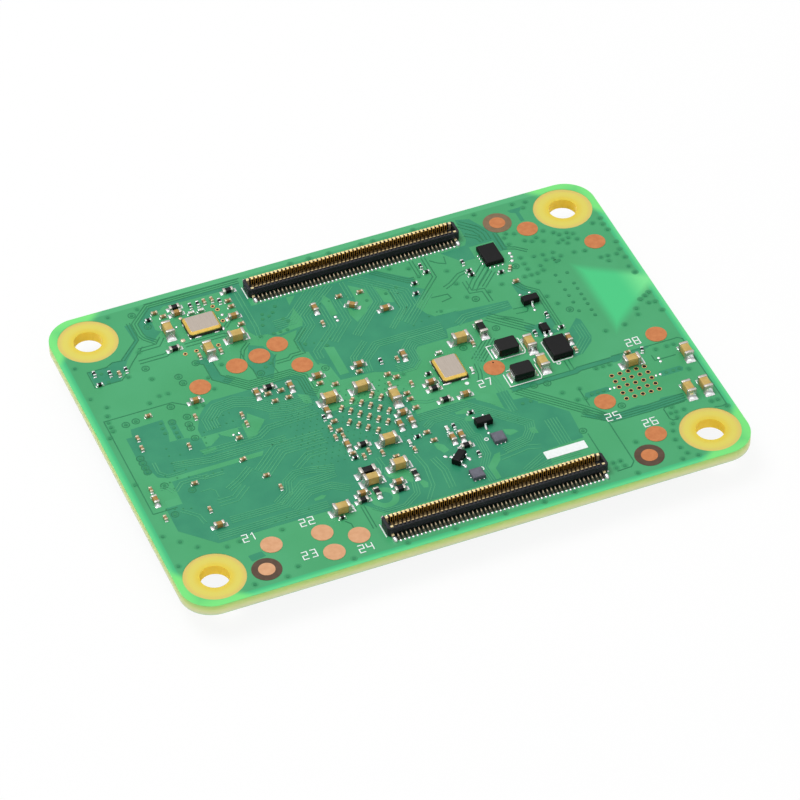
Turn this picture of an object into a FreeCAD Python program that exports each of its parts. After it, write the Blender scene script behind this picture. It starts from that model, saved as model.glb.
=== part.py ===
import FreeCAD, Part
import math
import os

# A plug-in processor board: a small circuit board that mates with a larger one through
# two rows of board-to-board connectors. It lies with its connector side up.
# Millimetres. X runs along the long side, Y across the board and Z up out of the
# connector side. The origin is the centre of the four mounting holes, on that side's face.

ALONG = 0
ACROSS = 90

# The bare board
BOARD_LENGTH = 55.0
BOARD_WIDTH = 40.0
BOARD_THICKNESS = 1.1
CORNER_RADIUS = 3.0
HOLE_DIAMETER = 2.7
HOLE_INSET = 3.5
COOLING_HOLE_DIAMETER = 0.3
COOLING_HOLE_PITCH = 0.82
COOLING_HOLES_PER_SIDE = 5
COOLING_HOLE_FACETS = 6

# The two board-to-board connectors
CONNECTOR_SPACING = 34.2
CONNECTOR_SHIFT = 2.55
CONTACT_PITCH = 0.4
CONTACTS_PER_ROW = 50
CONTACT_WIDTH = 0.2
CONTACT_GAUGE = 0.08
CONTACT_TAIL = 0.77
CONTACT_FOOT_START = 0.3
CONTACT_RISE = 0.34
CONTACT_BEND = 0.08
CONTACT_HOOK = 0.18
HOLD_DOWN_WIDTH = 0.26
HOLD_DOWN_STEP = 0.45
HOUSING_WIDTH = 1.76
HOUSING_HEIGHT = 0.98
HOUSING_WALL = 0.3
HOUSING_END = 0.26
HOUSING_FLOOR = 0.34
HOUSING_CHAMFER = 0.05
HOUSING_CORNER = 0.2
SLIT_CLEARANCE = 0.05

# Two-ended chips: length, width and height of each standard size
SMALL_CHIP = (0.6, 0.3, 0.3)
MEDIUM_CHIP = (1.0, 0.5, 0.5)
LARGE_CHIP = (1.6, 0.9, 0.95)
BEAD_CHIP = (1.6, 0.8, 0.8)
FLAT_CHIP = (1.0, 0.5, 0.4)
CAP_BAND = 0.3
CAP_STEP = 0.03

# Quartz crystals in metal-lidded ceramic packages
CRYSTAL_LENGTH = 3.2
CRYSTAL_WIDTH = 2.5
CRYSTAL_BASE_HEIGHT = 0.3
CRYSTAL_LID_HEIGHT = 0.3
CRYSTAL_LID_MARGIN = 0.03
CRYSTAL_LID_BEVEL = 0.2
CRYSTAL_LID_CORNER = 0.2

# Moulded power inductors with a metal strap round each end
COIL_LENGTH = 2.0
COIL_WIDTH = 1.6
COIL_HEIGHT = 0.95
COIL_CORNER = 0.12
STRAP_GAUGE = 0.1
STRAP_WIDTH = 1.2
STRAP_RISE = 0.6
STRAP_FOOT = 0.45

# Moulded chips on the connector side
REGULATOR_SIZE = (2.0, 2.6, 0.7)
BRIDGE_SIZE = (1.8, 2.6, 0.5)
SENSOR_SIZE = (1.2, 1.2, 0.45)
MOULD_BEVEL = 0.08

# Small transistors with one lead on one side and two on the other
TRANSISTOR_SIZE = (1.6, 0.8, 0.7)
TRANSISTOR_LEAD_PITCH = 1.0
SWITCH_SIZE = (0.8, 1.05, 0.55)
SWITCH_LEAD_PITCH = 0.52
LEAD_WIDTH = 0.22
LEAD_GAUGE = 0.1
LEAD_REACH = 0.5
LEAD_EXIT = 0.7
LEAD_STAND = 0.06

# Parts on the hidden side
PROCESSOR_SIDE = 15.0
SUBSTRATE_HEIGHT = 0.7
PROCESSOR_LID_MARGIN = 0.5
LID_FLANGE_HEIGHT = 0.5
LID_FLANGE_WIDTH = 1.1
LID_CROWN_HEIGHT = 1.18
LID_CORNER = 1.0
MEMORY_SIZE = (10.0, 12.4, 0.9)
STORAGE_SIZE = (11.5, 13.0, 1.0)
NETWORK_SIZE = (7.0, 7.0, 0.85)
POWER_SIZE = (5.0, 5.0, 0.8)
RADIO_SIZE = (11.0, 9.0)
RADIO_BASE_HEIGHT = 0.3
RADIO_CAN_HEIGHT = 1.1
RADIO_CAN_MARGIN = 0.3
RADIO_CAN_CORNER = 0.7
RADIO_CAN_BEVEL = 0.15
SOCKET_SIDE = 2.4
SOCKET_BASE_HEIGHT = 0.3
SOCKET_RING_RADIUS = 1.0
SOCKET_RING_WALL = 0.15
SOCKET_RING_HEIGHT = 0.95
SOCKET_PIN_RADIUS = 0.16
SOCKET_PIN_HEIGHT = 0.7

# The big chips of the hidden side stand in a row along X. These are the shares of the
# board's spare length before, between and after them, and how far each one is off the middle.
SPARE_SHARES = (0.41, 0.11, 0.09, 0.07, 0.32)
BIG_CHIP_OFFSETS = (-1.0, -1.0, -6.0, -8.25)
CAPACITOR_STANDOFF = 1.3
SOCKET_STANDOFF = 2.1

LEFT_EDGE = -BOARD_LENGTH / 2
RIGHT_EDGE = BOARD_LENGTH / 2
FAR_EDGE = BOARD_WIDTH / 2
UNDERSIDE = -BOARD_THICKNESS
CONTACT_ROW_LENGTH = (CONTACTS_PER_ROW - 1) * CONTACT_PITCH
CONTACT_FIELD = CONTACT_ROW_LENGTH + 2 * HOLD_DOWN_STEP + HOLD_DOWN_WIDTH + 2 * SLIT_CLEARANCE
HOUSING_LENGTH = CONTACT_FIELD + 2 * HOUSING_END
BIG_CHIP_LENGTHS = (MEMORY_SIZE[0], PROCESSOR_SIDE, STORAGE_SIZE[0], NETWORK_SIZE[0])
SPARE_LENGTH = BOARD_LENGTH - sum(BIG_CHIP_LENGTHS)


def from_left(x, y, turn=ALONG):
    """A place near the left edge, measured inward from it."""
    return (LEFT_EDGE + x, y, turn)


def from_right(x, y, turn=ALONG):
    """A place near the right edge, measured inward from it."""
    return (RIGHT_EDGE - x, y, turn)


def beside(place, x, y, turn=ALONG):
    """A place given by its distance from another one."""
    return (place[0] + x, place[1] + y, turn)


def big_chip_places():
    """Where the row of big chips stands, from left to right."""
    places = []
    reached = LEFT_EDGE
    for length, share, offset in zip(BIG_CHIP_LENGTHS, SPARE_SHARES, BIG_CHIP_OFFSETS):
        reached += share * SPARE_LENGTH
        places.append((reached + length / 2, offset, ALONG))
        reached += length
    return places


def centred_box(size, base=0.0):
    """A block centred on the origin in X and Y, standing on the level given by base."""
    length, width, height = size
    corner = FreeCAD.Vector(-length / 2, -width / 2, base)
    return Part.makeBox(length, width, height, corner)


def placed(shape, place):
    """A copy of a shape made at the origin, turned and moved to its place on the board."""
    x, y, turn = place
    copy = shape.copy()
    copy.rotate(FreeCAD.Vector(0, 0, 0), FreeCAD.Vector(0, 0, 1), turn)
    copy.translate(FreeCAD.Vector(x, y, 0))
    return copy


def flipped(shape):
    """A shape made on the top face, turned over so that it hangs from the underside."""
    copy = shape.copy()
    copy.rotate(FreeCAD.Vector(0, 0, 0), FreeCAD.Vector(1, 0, 0), 180)
    copy.translate(FreeCAD.Vector(0, 0, UNDERSIDE))
    return copy


def group(shapes):
    """Separate solids kept together in one node."""
    solids = []
    for shape in shapes:
        solids.extend(shape.Solids)
    return Part.makeCompound(solids)


def extruded(outline, direction):
    """A straight extrusion of a closed polygon given by its corners."""
    corners = [FreeCAD.Vector(*corner) for corner in outline]
    wire = Part.makePolygon(corners + corners[:1])
    return Part.Face(wire).extrude(FreeCAD.Vector(*direction))


def side_profile(outline, width):
    """Extrudes a Y-Z outline along X, centred on the origin."""
    start = -width / 2
    return extruded([(start, y, z) for y, z in outline], (width, 0, 0))


def upright_edges(shape):
    """The edges of a shape that run straight up and down."""
    found = []
    for edge in shape.Edges:
        low, high = edge.Vertexes[0].Point, edge.Vertexes[-1].Point
        if math.hypot(high.x - low.x, high.y - low.y) < 1e-6:
            found.append(edge)
    return found


def rim_edges(shape, level):
    """The edges of a shape that lie wholly in the level plane given by level."""
    found = []
    for edge in shape.Edges:
        box = edge.BoundBox
        if abs(box.ZMin - level) < 1e-6 and abs(box.ZMax - level) < 1e-6:
            found.append(edge)
    return found


def rounded_block(size, base, corner_radius):
    """A block with its four upright edges rounded."""
    block = centred_box(size, base)
    return block.makeFillet(corner_radius, upright_edges(block))


def cut_corner_block(size, base, cut):
    """A block with its four upright edges cut at 45 degrees."""
    block = centred_box(size, base)
    return block.makeChamfer(cut, upright_edges(block))


def bevelled_block(size, base, bevel):
    """A block with a bevel round its upper face."""
    block = centred_box(size, base)
    return block.makeChamfer(bevel, rim_edges(block, base + size[2]))


def faceted_drill(x, y):
    """The shape that one tiny cooling hole removes, drawn with flat sides to stay light."""
    outline = []
    for index in range(COOLING_HOLE_FACETS):
        angle = 2 * math.pi * (index + 0.5) / COOLING_HOLE_FACETS
        reach = COOLING_HOLE_DIAMETER / 2
        outline.append((x + reach * math.cos(angle), y + reach * math.sin(angle), UNDERSIDE))
    return extruded(outline, (0, 0, BOARD_THICKNESS))


def circuit_board():
    """The laminate with its rounded corners, four mounting holes and the cooling holes."""
    plate = rounded_block((BOARD_LENGTH, BOARD_WIDTH, BOARD_THICKNESS), UNDERSIDE, CORNER_RADIUS)
    hole_x = RIGHT_EDGE - HOLE_INSET
    hole_y = FAR_EDGE - HOLE_INSET
    down = FreeCAD.Vector(0, 0, -1)
    drills = []
    for x in (-hole_x, hole_x):
        for y in (-hole_y, hole_y):
            top = FreeCAD.Vector(x, y, 0)
            drills.append(Part.makeCylinder(HOLE_DIAMETER / 2, BOARD_THICKNESS, top, down))
    first = -(COOLING_HOLES_PER_SIDE - 1) / 2 * COOLING_HOLE_PITCH
    for row in range(COOLING_HOLES_PER_SIDE):
        for column in range(COOLING_HOLES_PER_SIDE):
            x = first + column * COOLING_HOLE_PITCH
            y = first + row * COOLING_HOLE_PITCH
            drills.append(placed(faceted_drill(x, y), NETWORK_PLACE))
    return plate.cut(Part.makeCompound(drills))


def connector_housing():
    """One moulded housing, with an open channel between two long walls.

    The walls stand clear of the board, so that the contacts' legs pass under them, and a
    narrow slit beside the channel's floor lets each contact rise.
    """
    half = HOUSING_WIDTH / 2
    channel_half = half - HOUSING_WALL
    block = cut_corner_block((HOUSING_LENGTH, HOUSING_WIDTH, HOUSING_HEIGHT), 0, HOUSING_CORNER)
    long_rims = []
    for edge in rim_edges(block, HOUSING_HEIGHT):
        if edge.BoundBox.XLength > HOUSING_WIDTH:
            long_rims.append(edge)
    block = block.makeChamfer(HOUSING_CHAMFER, long_rims)
    channel = centred_box((CONTACT_FIELD, 2 * channel_half, HOUSING_HEIGHT), HOUSING_FLOOR)
    block = block.cut(channel)
    start = -CONTACT_FIELD / 2
    for side in (-1, 1):
        slit_centre = side * (channel_half - CONTACT_GAUGE / 2)
        corner = FreeCAD.Vector(start, slit_centre - CONTACT_GAUGE / 2, 0)
        slit = Part.makeBox(CONTACT_FIELD, CONTACT_GAUGE, HOUSING_FLOOR, corner)
        wall_centre = side * (half - HOUSING_WALL / 2)
        corner = FreeCAD.Vector(start, wall_centre - HOUSING_WALL / 2, 0)
        undercut = Part.makeBox(CONTACT_FIELD, HOUSING_WALL, CONTACT_RISE, corner)
        block = block.cut(slit).cut(undercut)
    return block


def formed_contact(width):
    """One stamped contact, a strip of one gauge bent four times.

    A foot lies on the board, a leg slopes up under the wall, a blade stands against the
    wall's inner face and a hook lies over its top.
    """
    half = HOUSING_WIDTH / 2
    outer = half - HOUSING_WALL
    inner = outer - CONTACT_GAUGE
    foot_tip = half + CONTACT_TAIL
    foot_start = half + CONTACT_FOOT_START
    top = HOUSING_HEIGHT + CONTACT_GAUGE
    hook_tip = outer + CONTACT_HOOK
    foot_and_leg = [
        (foot_start - CONTACT_GAUGE / 2, 0),
        (foot_tip, 0),
        (foot_tip, CONTACT_GAUGE),
        (foot_start, CONTACT_GAUGE),
        (outer, CONTACT_RISE),
    ]
    blade_and_hook = [
        (outer, HOUSING_HEIGHT),
        (hook_tip, HOUSING_HEIGHT),
        (hook_tip, top),
        (inner + CONTACT_BEND, top),
        (inner, top - CONTACT_BEND),
        (inner, CONTACT_RISE - CONTACT_GAUGE),
    ]
    return side_profile(foot_and_leg + blade_and_hook, width)


def both_rows(contact, offsets):
    """Copies of a contact along both walls, at the given distances from the middle."""
    copies = []
    for offset in offsets:
        copies.append(placed(contact, (offset, 0, 0)))
        copies.append(placed(contact, (offset, 0, 180)))
    return group(copies)


def connector_contacts():
    """All the signal contacts of one connector."""
    first = -CONTACT_ROW_LENGTH / 2
    offsets = [first + index * CONTACT_PITCH for index in range(CONTACTS_PER_ROW)]
    return both_rows(formed_contact(CONTACT_WIDTH), offsets)


def connector_hold_downs():
    """The four wider strips at the ends of one connector, which anchor it to the board."""
    reach = CONTACT_ROW_LENGTH / 2 + HOLD_DOWN_STEP
    return both_rows(formed_contact(HOLD_DOWN_WIDTH), (-reach, reach))


def connector_places():
    """Where the two connectors sit, far side first."""
    half = CONNECTOR_SPACING / 2
    return (CONNECTOR_SHIFT, half, 0), (CONNECTOR_SHIFT, -half, 0)


def plain_chips(size, places):
    """A group of small two-ended chips, each a plain block."""
    return group([placed(centred_box(size), place) for place in places])


def capped_chip(size):
    """A large two-ended chip whose metal end caps stand slightly above its body."""
    length, width, height = size
    half = length / 2
    shoulder = half - CAP_BAND
    outline = [
        (-half, 0),
        (half, 0),
        (half, height),
        (shoulder, height),
        (shoulder, height - CAP_STEP),
        (-shoulder, height - CAP_STEP),
        (-shoulder, height),
        (-half, height),
    ]
    return extruded([(x, -width / 2, z) for x, z in outline], (0, width, 0))


def capped_chips(size, places):
    """A group of large two-ended chips."""
    return group([placed(capped_chip(size), place) for place in places])


def crystal_base():
    """The ceramic tray of a crystal package."""
    return centred_box((CRYSTAL_LENGTH, CRYSTAL_WIDTH, CRYSTAL_BASE_HEIGHT))


def crystal_lid():
    """The metal lid of a crystal package, with cut corners and a bevelled rim."""
    length = CRYSTAL_LENGTH - 2 * CRYSTAL_LID_MARGIN
    width = CRYSTAL_WIDTH - 2 * CRYSTAL_LID_MARGIN
    size = (length, width, CRYSTAL_LID_HEIGHT)
    lid = cut_corner_block(size, CRYSTAL_BASE_HEIGHT, CRYSTAL_LID_CORNER)
    top = CRYSTAL_BASE_HEIGHT + CRYSTAL_LID_HEIGHT
    return lid.makeChamfer(CRYSTAL_LID_BEVEL, rim_edges(lid, top))


def inductor_core():
    """The moulded body of a power inductor, resting on the feet of its two straps."""
    size = (COIL_LENGTH, COIL_WIDTH, COIL_HEIGHT - STRAP_GAUGE)
    return cut_corner_block(size, STRAP_GAUGE, COIL_CORNER)


def inductor_straps():
    """The two metal straps of a power inductor, each up an end face and under the body."""
    end = COIL_LENGTH / 2
    outline = [
        (end - STRAP_FOOT, 0),
        (end + STRAP_GAUGE, 0),
        (end + STRAP_GAUGE, STRAP_RISE),
        (end, STRAP_RISE),
        (end, STRAP_GAUGE),
        (end - STRAP_FOOT, STRAP_GAUGE),
    ]
    strap = side_profile(outline, STRAP_WIDTH)
    return group([placed(strap, (0, 0, -90)), placed(strap, (0, 0, 90))])


def leaded_body(size):
    """The moulded body of a small leaded part, raised on its leads."""
    length, width, height = size
    return bevelled_block((length, width, height - LEAD_STAND), LEAD_STAND, MOULD_BEVEL)


def gull_wing_lead(size):
    """One lead: out of the body's side, down, and flat along the board."""
    body_half = size[1] / 2
    exit_high = size[2] * LEAD_EXIT
    exit_low = exit_high - LEAD_GAUGE
    knee_inner = body_half + LEAD_GAUGE / 2
    knee_outer = knee_inner + LEAD_GAUGE
    toe = body_half + LEAD_REACH
    outline = [
        (body_half, exit_low),
        (body_half, exit_high),
        (knee_outer, exit_high),
        (knee_outer, LEAD_GAUGE),
        (toe, LEAD_GAUGE),
        (toe, 0),
        (knee_inner, 0),
        (knee_inner, exit_low),
    ]
    return side_profile(outline, LEAD_WIDTH)


def three_leads(size, pitch):
    """The leads of a three-legged part: one towards -Y and two towards +Y."""
    lead = gull_wing_lead(size)
    pair = [placed(lead, (side * pitch / 2, 0, 0)) for side in (-1, 1)]
    return group(pair + [placed(lead, (0, 0, 180))])


def processor_substrate():
    """The laminate that carries the processor under its lid."""
    return centred_box((PROCESSOR_SIDE, PROCESSOR_SIDE, SUBSTRATE_HEIGHT))


def processor_lid():
    """The pressed metal lid of the processor: a thin flange round a raised crown."""
    flange_side = PROCESSOR_SIDE - 2 * PROCESSOR_LID_MARGIN
    crown_side = flange_side - 2 * LID_FLANGE_WIDTH
    flange = rounded_block((flange_side, flange_side, LID_FLANGE_HEIGHT), SUBSTRATE_HEIGHT, LID_CORNER)
    base = SUBSTRATE_HEIGHT + LID_FLANGE_HEIGHT
    crown = rounded_block((crown_side, crown_side, LID_CROWN_HEIGHT), base, LID_CORNER)
    return flange.fuse(crown).removeSplitter()


def radio_base():
    """The laminate under the radio module's shield."""
    return centred_box((RADIO_SIZE[0], RADIO_SIZE[1], RADIO_BASE_HEIGHT))


def radio_shield():
    """The drawn metal can over the radio module."""
    length = RADIO_SIZE[0] - 2 * RADIO_CAN_MARGIN
    width = RADIO_SIZE[1] - 2 * RADIO_CAN_MARGIN
    can = cut_corner_block((length, width, RADIO_CAN_HEIGHT), RADIO_BASE_HEIGHT, RADIO_CAN_CORNER)
    top = RADIO_BASE_HEIGHT + RADIO_CAN_HEIGHT
    return can.makeChamfer(RADIO_CAN_BEVEL, rim_edges(can, top))


def socket_base():
    """The moulded base of the aerial socket."""
    return centred_box((SOCKET_SIDE, SOCKET_SIDE, SOCKET_BASE_HEIGHT))


def socket_ring():
    """The round outer contact of the aerial socket, open in the middle."""
    base = FreeCAD.Vector(0, 0, SOCKET_BASE_HEIGHT)
    outside = Part.makeCylinder(SOCKET_RING_RADIUS, SOCKET_RING_HEIGHT, base)
    bore = Part.makeCylinder(SOCKET_RING_RADIUS - SOCKET_RING_WALL, SOCKET_RING_HEIGHT, base)
    return outside.cut(bore)


def socket_pin():
    """The centre contact of the aerial socket."""
    base = FreeCAD.Vector(0, 0, SOCKET_BASE_HEIGHT)
    return Part.makeCylinder(SOCKET_PIN_RADIUS, SOCKET_PIN_HEIGHT, base)


# The capacitors under the processor sit in slanting rows between its solder points
FIELD_X = -4.5
FIELD_Y = -0.43
FIELD_STEP = 0.65
FIELD_ROWS = 7
FIELD_REPEAT = 3
FIELD_LEFT = -6.0
FIELD_RIGHT = -1.8
FIELD_TURN = 48
FIELD_LAST = (-3.8, -5.05, FIELD_TURN)


def processor_capacitor_places():
    """The slanting rows: each row steps right, and every third column is filled."""
    places = []
    for row in range(FIELD_ROWS):
        for column in range(-FIELD_ROWS, FIELD_ROWS):
            x = FIELD_X + (row + FIELD_REPEAT * column) * FIELD_STEP
            if FIELD_LEFT < x < FIELD_RIGHT:
                places.append((x, FIELD_Y - row * FIELD_STEP, FIELD_TURN))
    return places + [FIELD_LAST]


SMALL_CAPACITORS = processor_capacitor_places() + [
    # Round the far left crystal
    (-17.05, 17.65, ALONG), (-16.45, 16.9, ALONG), (-12.2, 17.35, ACROSS), (-11.45, 17.35, ACROSS),
    (-10.1, 16.6, ALONG), (-10.1, 15.75, ALONG), (-10.1, 13.15, ALONG),
    (-15.2, 10.5, ACROSS), (-13.15, 10.45, ACROSS),
    # The far middle
    (-0.35, 13.15, ALONG), (-3.1, 10.25, ACROSS), (1.7, 12.95, ALONG),
    (15.95, 10.55, 60), (15.75, 8.65, ALONG),
    # The left side
    from_left(4.65, 11.15, ACROSS), from_left(5.15, 4.85, ALONG), from_left(3.25, 2.4, ACROSS),
    from_left(3.15, 1.05, ACROSS), from_left(7.2, -0.3, ACROSS), from_left(5.95, -5.0, ALONG),
    from_left(2.05, -4.3, ACROSS), from_left(2.0, -8.15, ACROSS), from_left(6.05, -8.65, ACROSS),
    (-18.45, 3.05, ACROSS), (-14.45, 1.65, ACROSS), (-14.45, 0.4, ACROSS), (-15.75, -1.05, ALONG),
    (-16.45, -3.8, 12), (-15.25, -6.55, ALONG), (-14.6, -8.45, ACROSS),
    # Left of the middle
    (-11.25, 3.35, ALONG), (-10.0, 3.3, ALONG), (-11.0, 2.2, ALONG), (-9.65, 2.2, ALONG),
    (-6.35, 2.8, ALONG), (-5.1, 2.15, ALONG), (-2.45, 2.85, ALONG), (-0.2, 1.5, ALONG),
    (-0.55, 0.15, ACROSS), (-7.05, -2.4, ALONG), (-7.7, -3.1, ACROSS), (-7.05, -3.7, ALONG),
    (-7.7, -4.4, ACROSS), (-7.0, -4.5, ACROSS), (-7.05, -6.95, ALONG), (-5.6, -7.2, ACROSS),
    (-6.25, -7.7, ACROSS), (-4.55, -7.9, ACROSS), (-1.7, -8.65, ACROSS), (-3.6, -8.85, ALONG),
    # The middle and right
    (1.4, 3.05, ACROSS), (0.4, 0.85, ALONG), (8.65, 2.3, ACROSS), (1.35, -0.5, ACROSS),
    (0.45, -1.55, ALONG), (0.45, -2.35, ALONG), (0.5, -3.6, ALONG), (0.15, -7.0, ALONG),
    (0.35, -8.2, ALONG), (17.05, -2.15, ACROSS), from_right(6.25, -4.4, ALONG),
]

MEDIUM_CAPACITORS = [
    (-15.15, 16.8, ALONG), (-10.4, 14.35, ALONG), (-3.05, 12.4, ACROSS), (0.35, 11.45, -35),
    (-17.7, 5.0, ALONG), from_left(1.95, -5.75, ACROSS), from_left(6.1, -10.85, ALONG),
    (-12.2, 3.7, ACROSS), (-9.0, 3.45, ACROSS), (-6.25, 3.75, ALONG), (-2.15, 3.7, ALONG),
    (-7.15, -0.95, ACROSS), (-7.1, -5.8, ACROSS), (-1.7, -5.15, ACROSS), (-0.55, -5.15, ACROSS),
    (-0.9, -3.8, ALONG), (-8.2, -12.1, ALONG), (-4.7, -12.0, ALONG), (3.0, 9.85, ALONG),
    (2.1, 3.3, ACROSS), (3.0, -1.1, ALONG), (5.3, -3.8, ALONG), (2.0, -8.65, ACROSS),
    (2.85, -8.65, ACROSS), (17.05, -0.6, ACROSS),
]

LARGE_CAPACITORS = [
    (-16.75, 14.7, ACROSS), (-14.2, 10.7, ACROSS), (-11.2, 11.5, ALONG),
    (-6.4, 0.35, ALONG), (-3.15, 0.65, ALONG), (-0.8, -1.75, ACROSS), (-3.5, -6.75, ALONG),
    (-3.85, -10.1, ALONG), (-6.8, -10.95, ALONG), (-10.7, -13.35, ALONG), (7.75, 3.15, ALONG),
    (13.35, 0.0, ACROSS), (13.4, -2.9, ACROSS), from_right(6.45, -5.8, ALONG),
    from_right(1.3, -6.6, ACROSS), from_right(3.25, -11.3, ACROSS),
    from_right(1.6, -11.35, ACROSS),
]

SMALL_RESISTORS = [
    (-17.9, 16.95, ALONG), (-13.6, 17.3, ACROSS), (-12.85, 17.3, ACROSS), (-10.85, 16.85, ACROSS),
    from_left(2.5, 12.0, ACROSS), from_left(3.85, 11.5, ACROSS), from_left(5.4, 11.4, ACROSS),
    from_left(2.5, 10.45, ALONG), (8.3, 14.05, ACROSS), (8.5, 13.1, ALONG), (6.85, 12.05, ALONG),
    (6.45, 10.7, ALONG), (12.15, 13.0, ACROSS), (12.25, 11.7, ALONG), (12.25, 11.1, ALONG),
    (14.95, 10.35, ALONG), (-0.1, 3.4, ACROSS), (-7.7, -1.6, ACROSS), (-7.05, -7.55, ALONG),
    (-0.85, -7.2, ALONG), (-11.0, -14.2, ALONG), (4.8, -6.15, ALONG), (2.7, -7.25, ACROSS),
    (3.4, -11.4, ACROSS), (16.5, 3.25, ACROSS), (14.5, 1.35, ACROSS), (17.05, 1.15, ALONG),
    from_right(4.85, -4.6, 70), (3.25, 0.1, ALONG),
]

MEDIUM_RESISTORS = [
    (-15.05, 17.65, ALONG), (-9.6, 17.9, ALONG), (-17.0, 12.35, ALONG), (-10.9, 4.1, ALONG),
    (-5.8, -6.25, ALONG), (-8.45, -12.9, ALONG), (-6.9, -12.45, ACROSS), (-4.85, -12.85, ALONG),
    (-2.9, -11.6, ACROSS), (3.0, -1.95, ALONG), (3.35, -3.7, ALONG), (2.75, -10.0, ALONG),
]

FERRITE_BEADS = [(-6.8, -9.85, ALONG), (10.05, 3.6, ACROSS)]

LINK_CHIPS = [
    (-13.85, 16.35, ALONG), (-12.9, 16.35, ALONG), (5.25, 2.35, ALONG), (7.15, -1.0, ACROSS),
    (2.0, -7.3, ACROSS), (-1.8, -7.65, ACROSS),
]

TALL_CRYSTAL_PLACE = (-13.55, 14.4, ALONG)
MIDDLE_CRYSTAL_PLACE = (5.3, -0.1, ACROSS)
INDUCTOR_PLACES = [(11.2, 0.35, ALONG), (11.2, -3.25, ALONG)]
REGULATOR_PLACE = (15.6, -1.4, ALONG)
BRIDGE_PLACE = (14.95, 12.95, ALONG)
SENSOR_PLACES = [(5.85, -10.2, ALONG), (2.2, -13.8, ALONG)]
TRANSISTOR_PLACES = [(15.85, 5.6, ALONG), (5.35, -7.85, ALONG), (1.48, -11.33, -137)]
SWITCH_PLACE = (15.5, 1.5, 180)

MEMORY_PLACE, PROCESSOR_PLACE, STORAGE_PLACE, NETWORK_PLACE = big_chip_places()
RADIO_PLACE = (14.0, 9.0, ALONG)
POWER_PLACE = (-8.5, 12.6, ALONG)
UNDERSIDE_INDUCTOR_PLACES = [(-13.4, 11.4, ALONG), (-13.4, 14.0, ALONG), (-1.6, 12.2, ALONG)]
UNDERSIDE_CRYSTAL_PLACE = beside(NETWORK_PLACE, -1.9, NETWORK_SIZE[1] / 2 + CRYSTAL_WIDTH / 2 + 2.25)
SOCKET_PLACE = beside(RADIO_PLACE, RADIO_SIZE[0] / 2 + SOCKET_STANDOFF + SOCKET_SIDE / 2, -3.4)


def underside_capacitor_places():
    """The hidden side's capacitors, each beside the chip that it serves."""
    chip_width = MEDIUM_CHIP[1]
    off_processor = PROCESSOR_SIDE / 2 + CAPACITOR_STANDOFF + chip_width / 2
    off_memory = MEMORY_SIZE[0] / 2 + CAPACITOR_STANDOFF + chip_width / 2
    off_network = NETWORK_SIZE[0] / 2 + CAPACITOR_STANDOFF / 2 + chip_width / 2
    under_network = NETWORK_SIZE[1] / 2 + CAPACITOR_STANDOFF + chip_width / 2
    places = [beside(PROCESSOR_PLACE, x, off_processor) for x in (-6.8, -4.6, -2.4, 2.4, 4.6, 6.8)]
    places += [beside(PROCESSOR_PLACE, x, -off_processor) for x in (-6.8, -4.6, -2.4, 2.4, 4.6)]
    places += [beside(MEMORY_PLACE, -off_memory, y, ACROSS) for y in (4.6, 2.4, -2.4, -4.6)]
    places += [beside(NETWORK_PLACE, off_network, y, ACROSS) for y in (2.6, 0.0, -2.6)]
    places += [beside(NETWORK_PLACE, x, -under_network) for x in (-2.6, -0.4, 1.8)]
    places += [beside(RADIO_PLACE, -RADIO_SIZE[0] / 2 - 2.3, y, ACROSS) for y in (-5.1, -2.8)]
    places += [(x, 15.4, ACROSS) for x in (-3.9, -2.6, -1.3)]
    return places


def inductors(places):
    """The cores and the straps of inductors at the given places."""
    cores = group([placed(inductor_core(), place) for place in places])
    straps = group([placed(inductor_straps(), place) for place in places])
    return cores, straps


def connector_nodes():
    """The housings and contacts of both connectors."""
    far_place, near_place = connector_places()
    housing = connector_housing()
    contacts = connector_contacts()
    hold_downs = connector_hold_downs()
    return {
        "far_connector_housing": placed(housing, far_place),
        "near_connector_housing": placed(housing, near_place),
        "far_connector_contacts": placed(contacts, far_place),
        "near_connector_contacts": placed(contacts, near_place),
        "connector_hold_downs": group([placed(hold_downs, far_place), placed(hold_downs, near_place)]),
    }


def chip_nodes():
    """The two-ended chips of the connector side, one node for each kind and size."""
    return {
        "small_capacitors": plain_chips(SMALL_CHIP, SMALL_CAPACITORS),
        "medium_capacitors": plain_chips(MEDIUM_CHIP, MEDIUM_CAPACITORS),
        "large_capacitors": capped_chips(LARGE_CHIP, LARGE_CAPACITORS),
        "small_resistors": plain_chips(SMALL_CHIP, SMALL_RESISTORS),
        "medium_resistors": plain_chips(FLAT_CHIP, MEDIUM_RESISTORS),
        "ferrite_beads": capped_chips(BEAD_CHIP, FERRITE_BEADS),
        "link_chips": plain_chips(SMALL_CHIP, LINK_CHIPS),
    }


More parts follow.
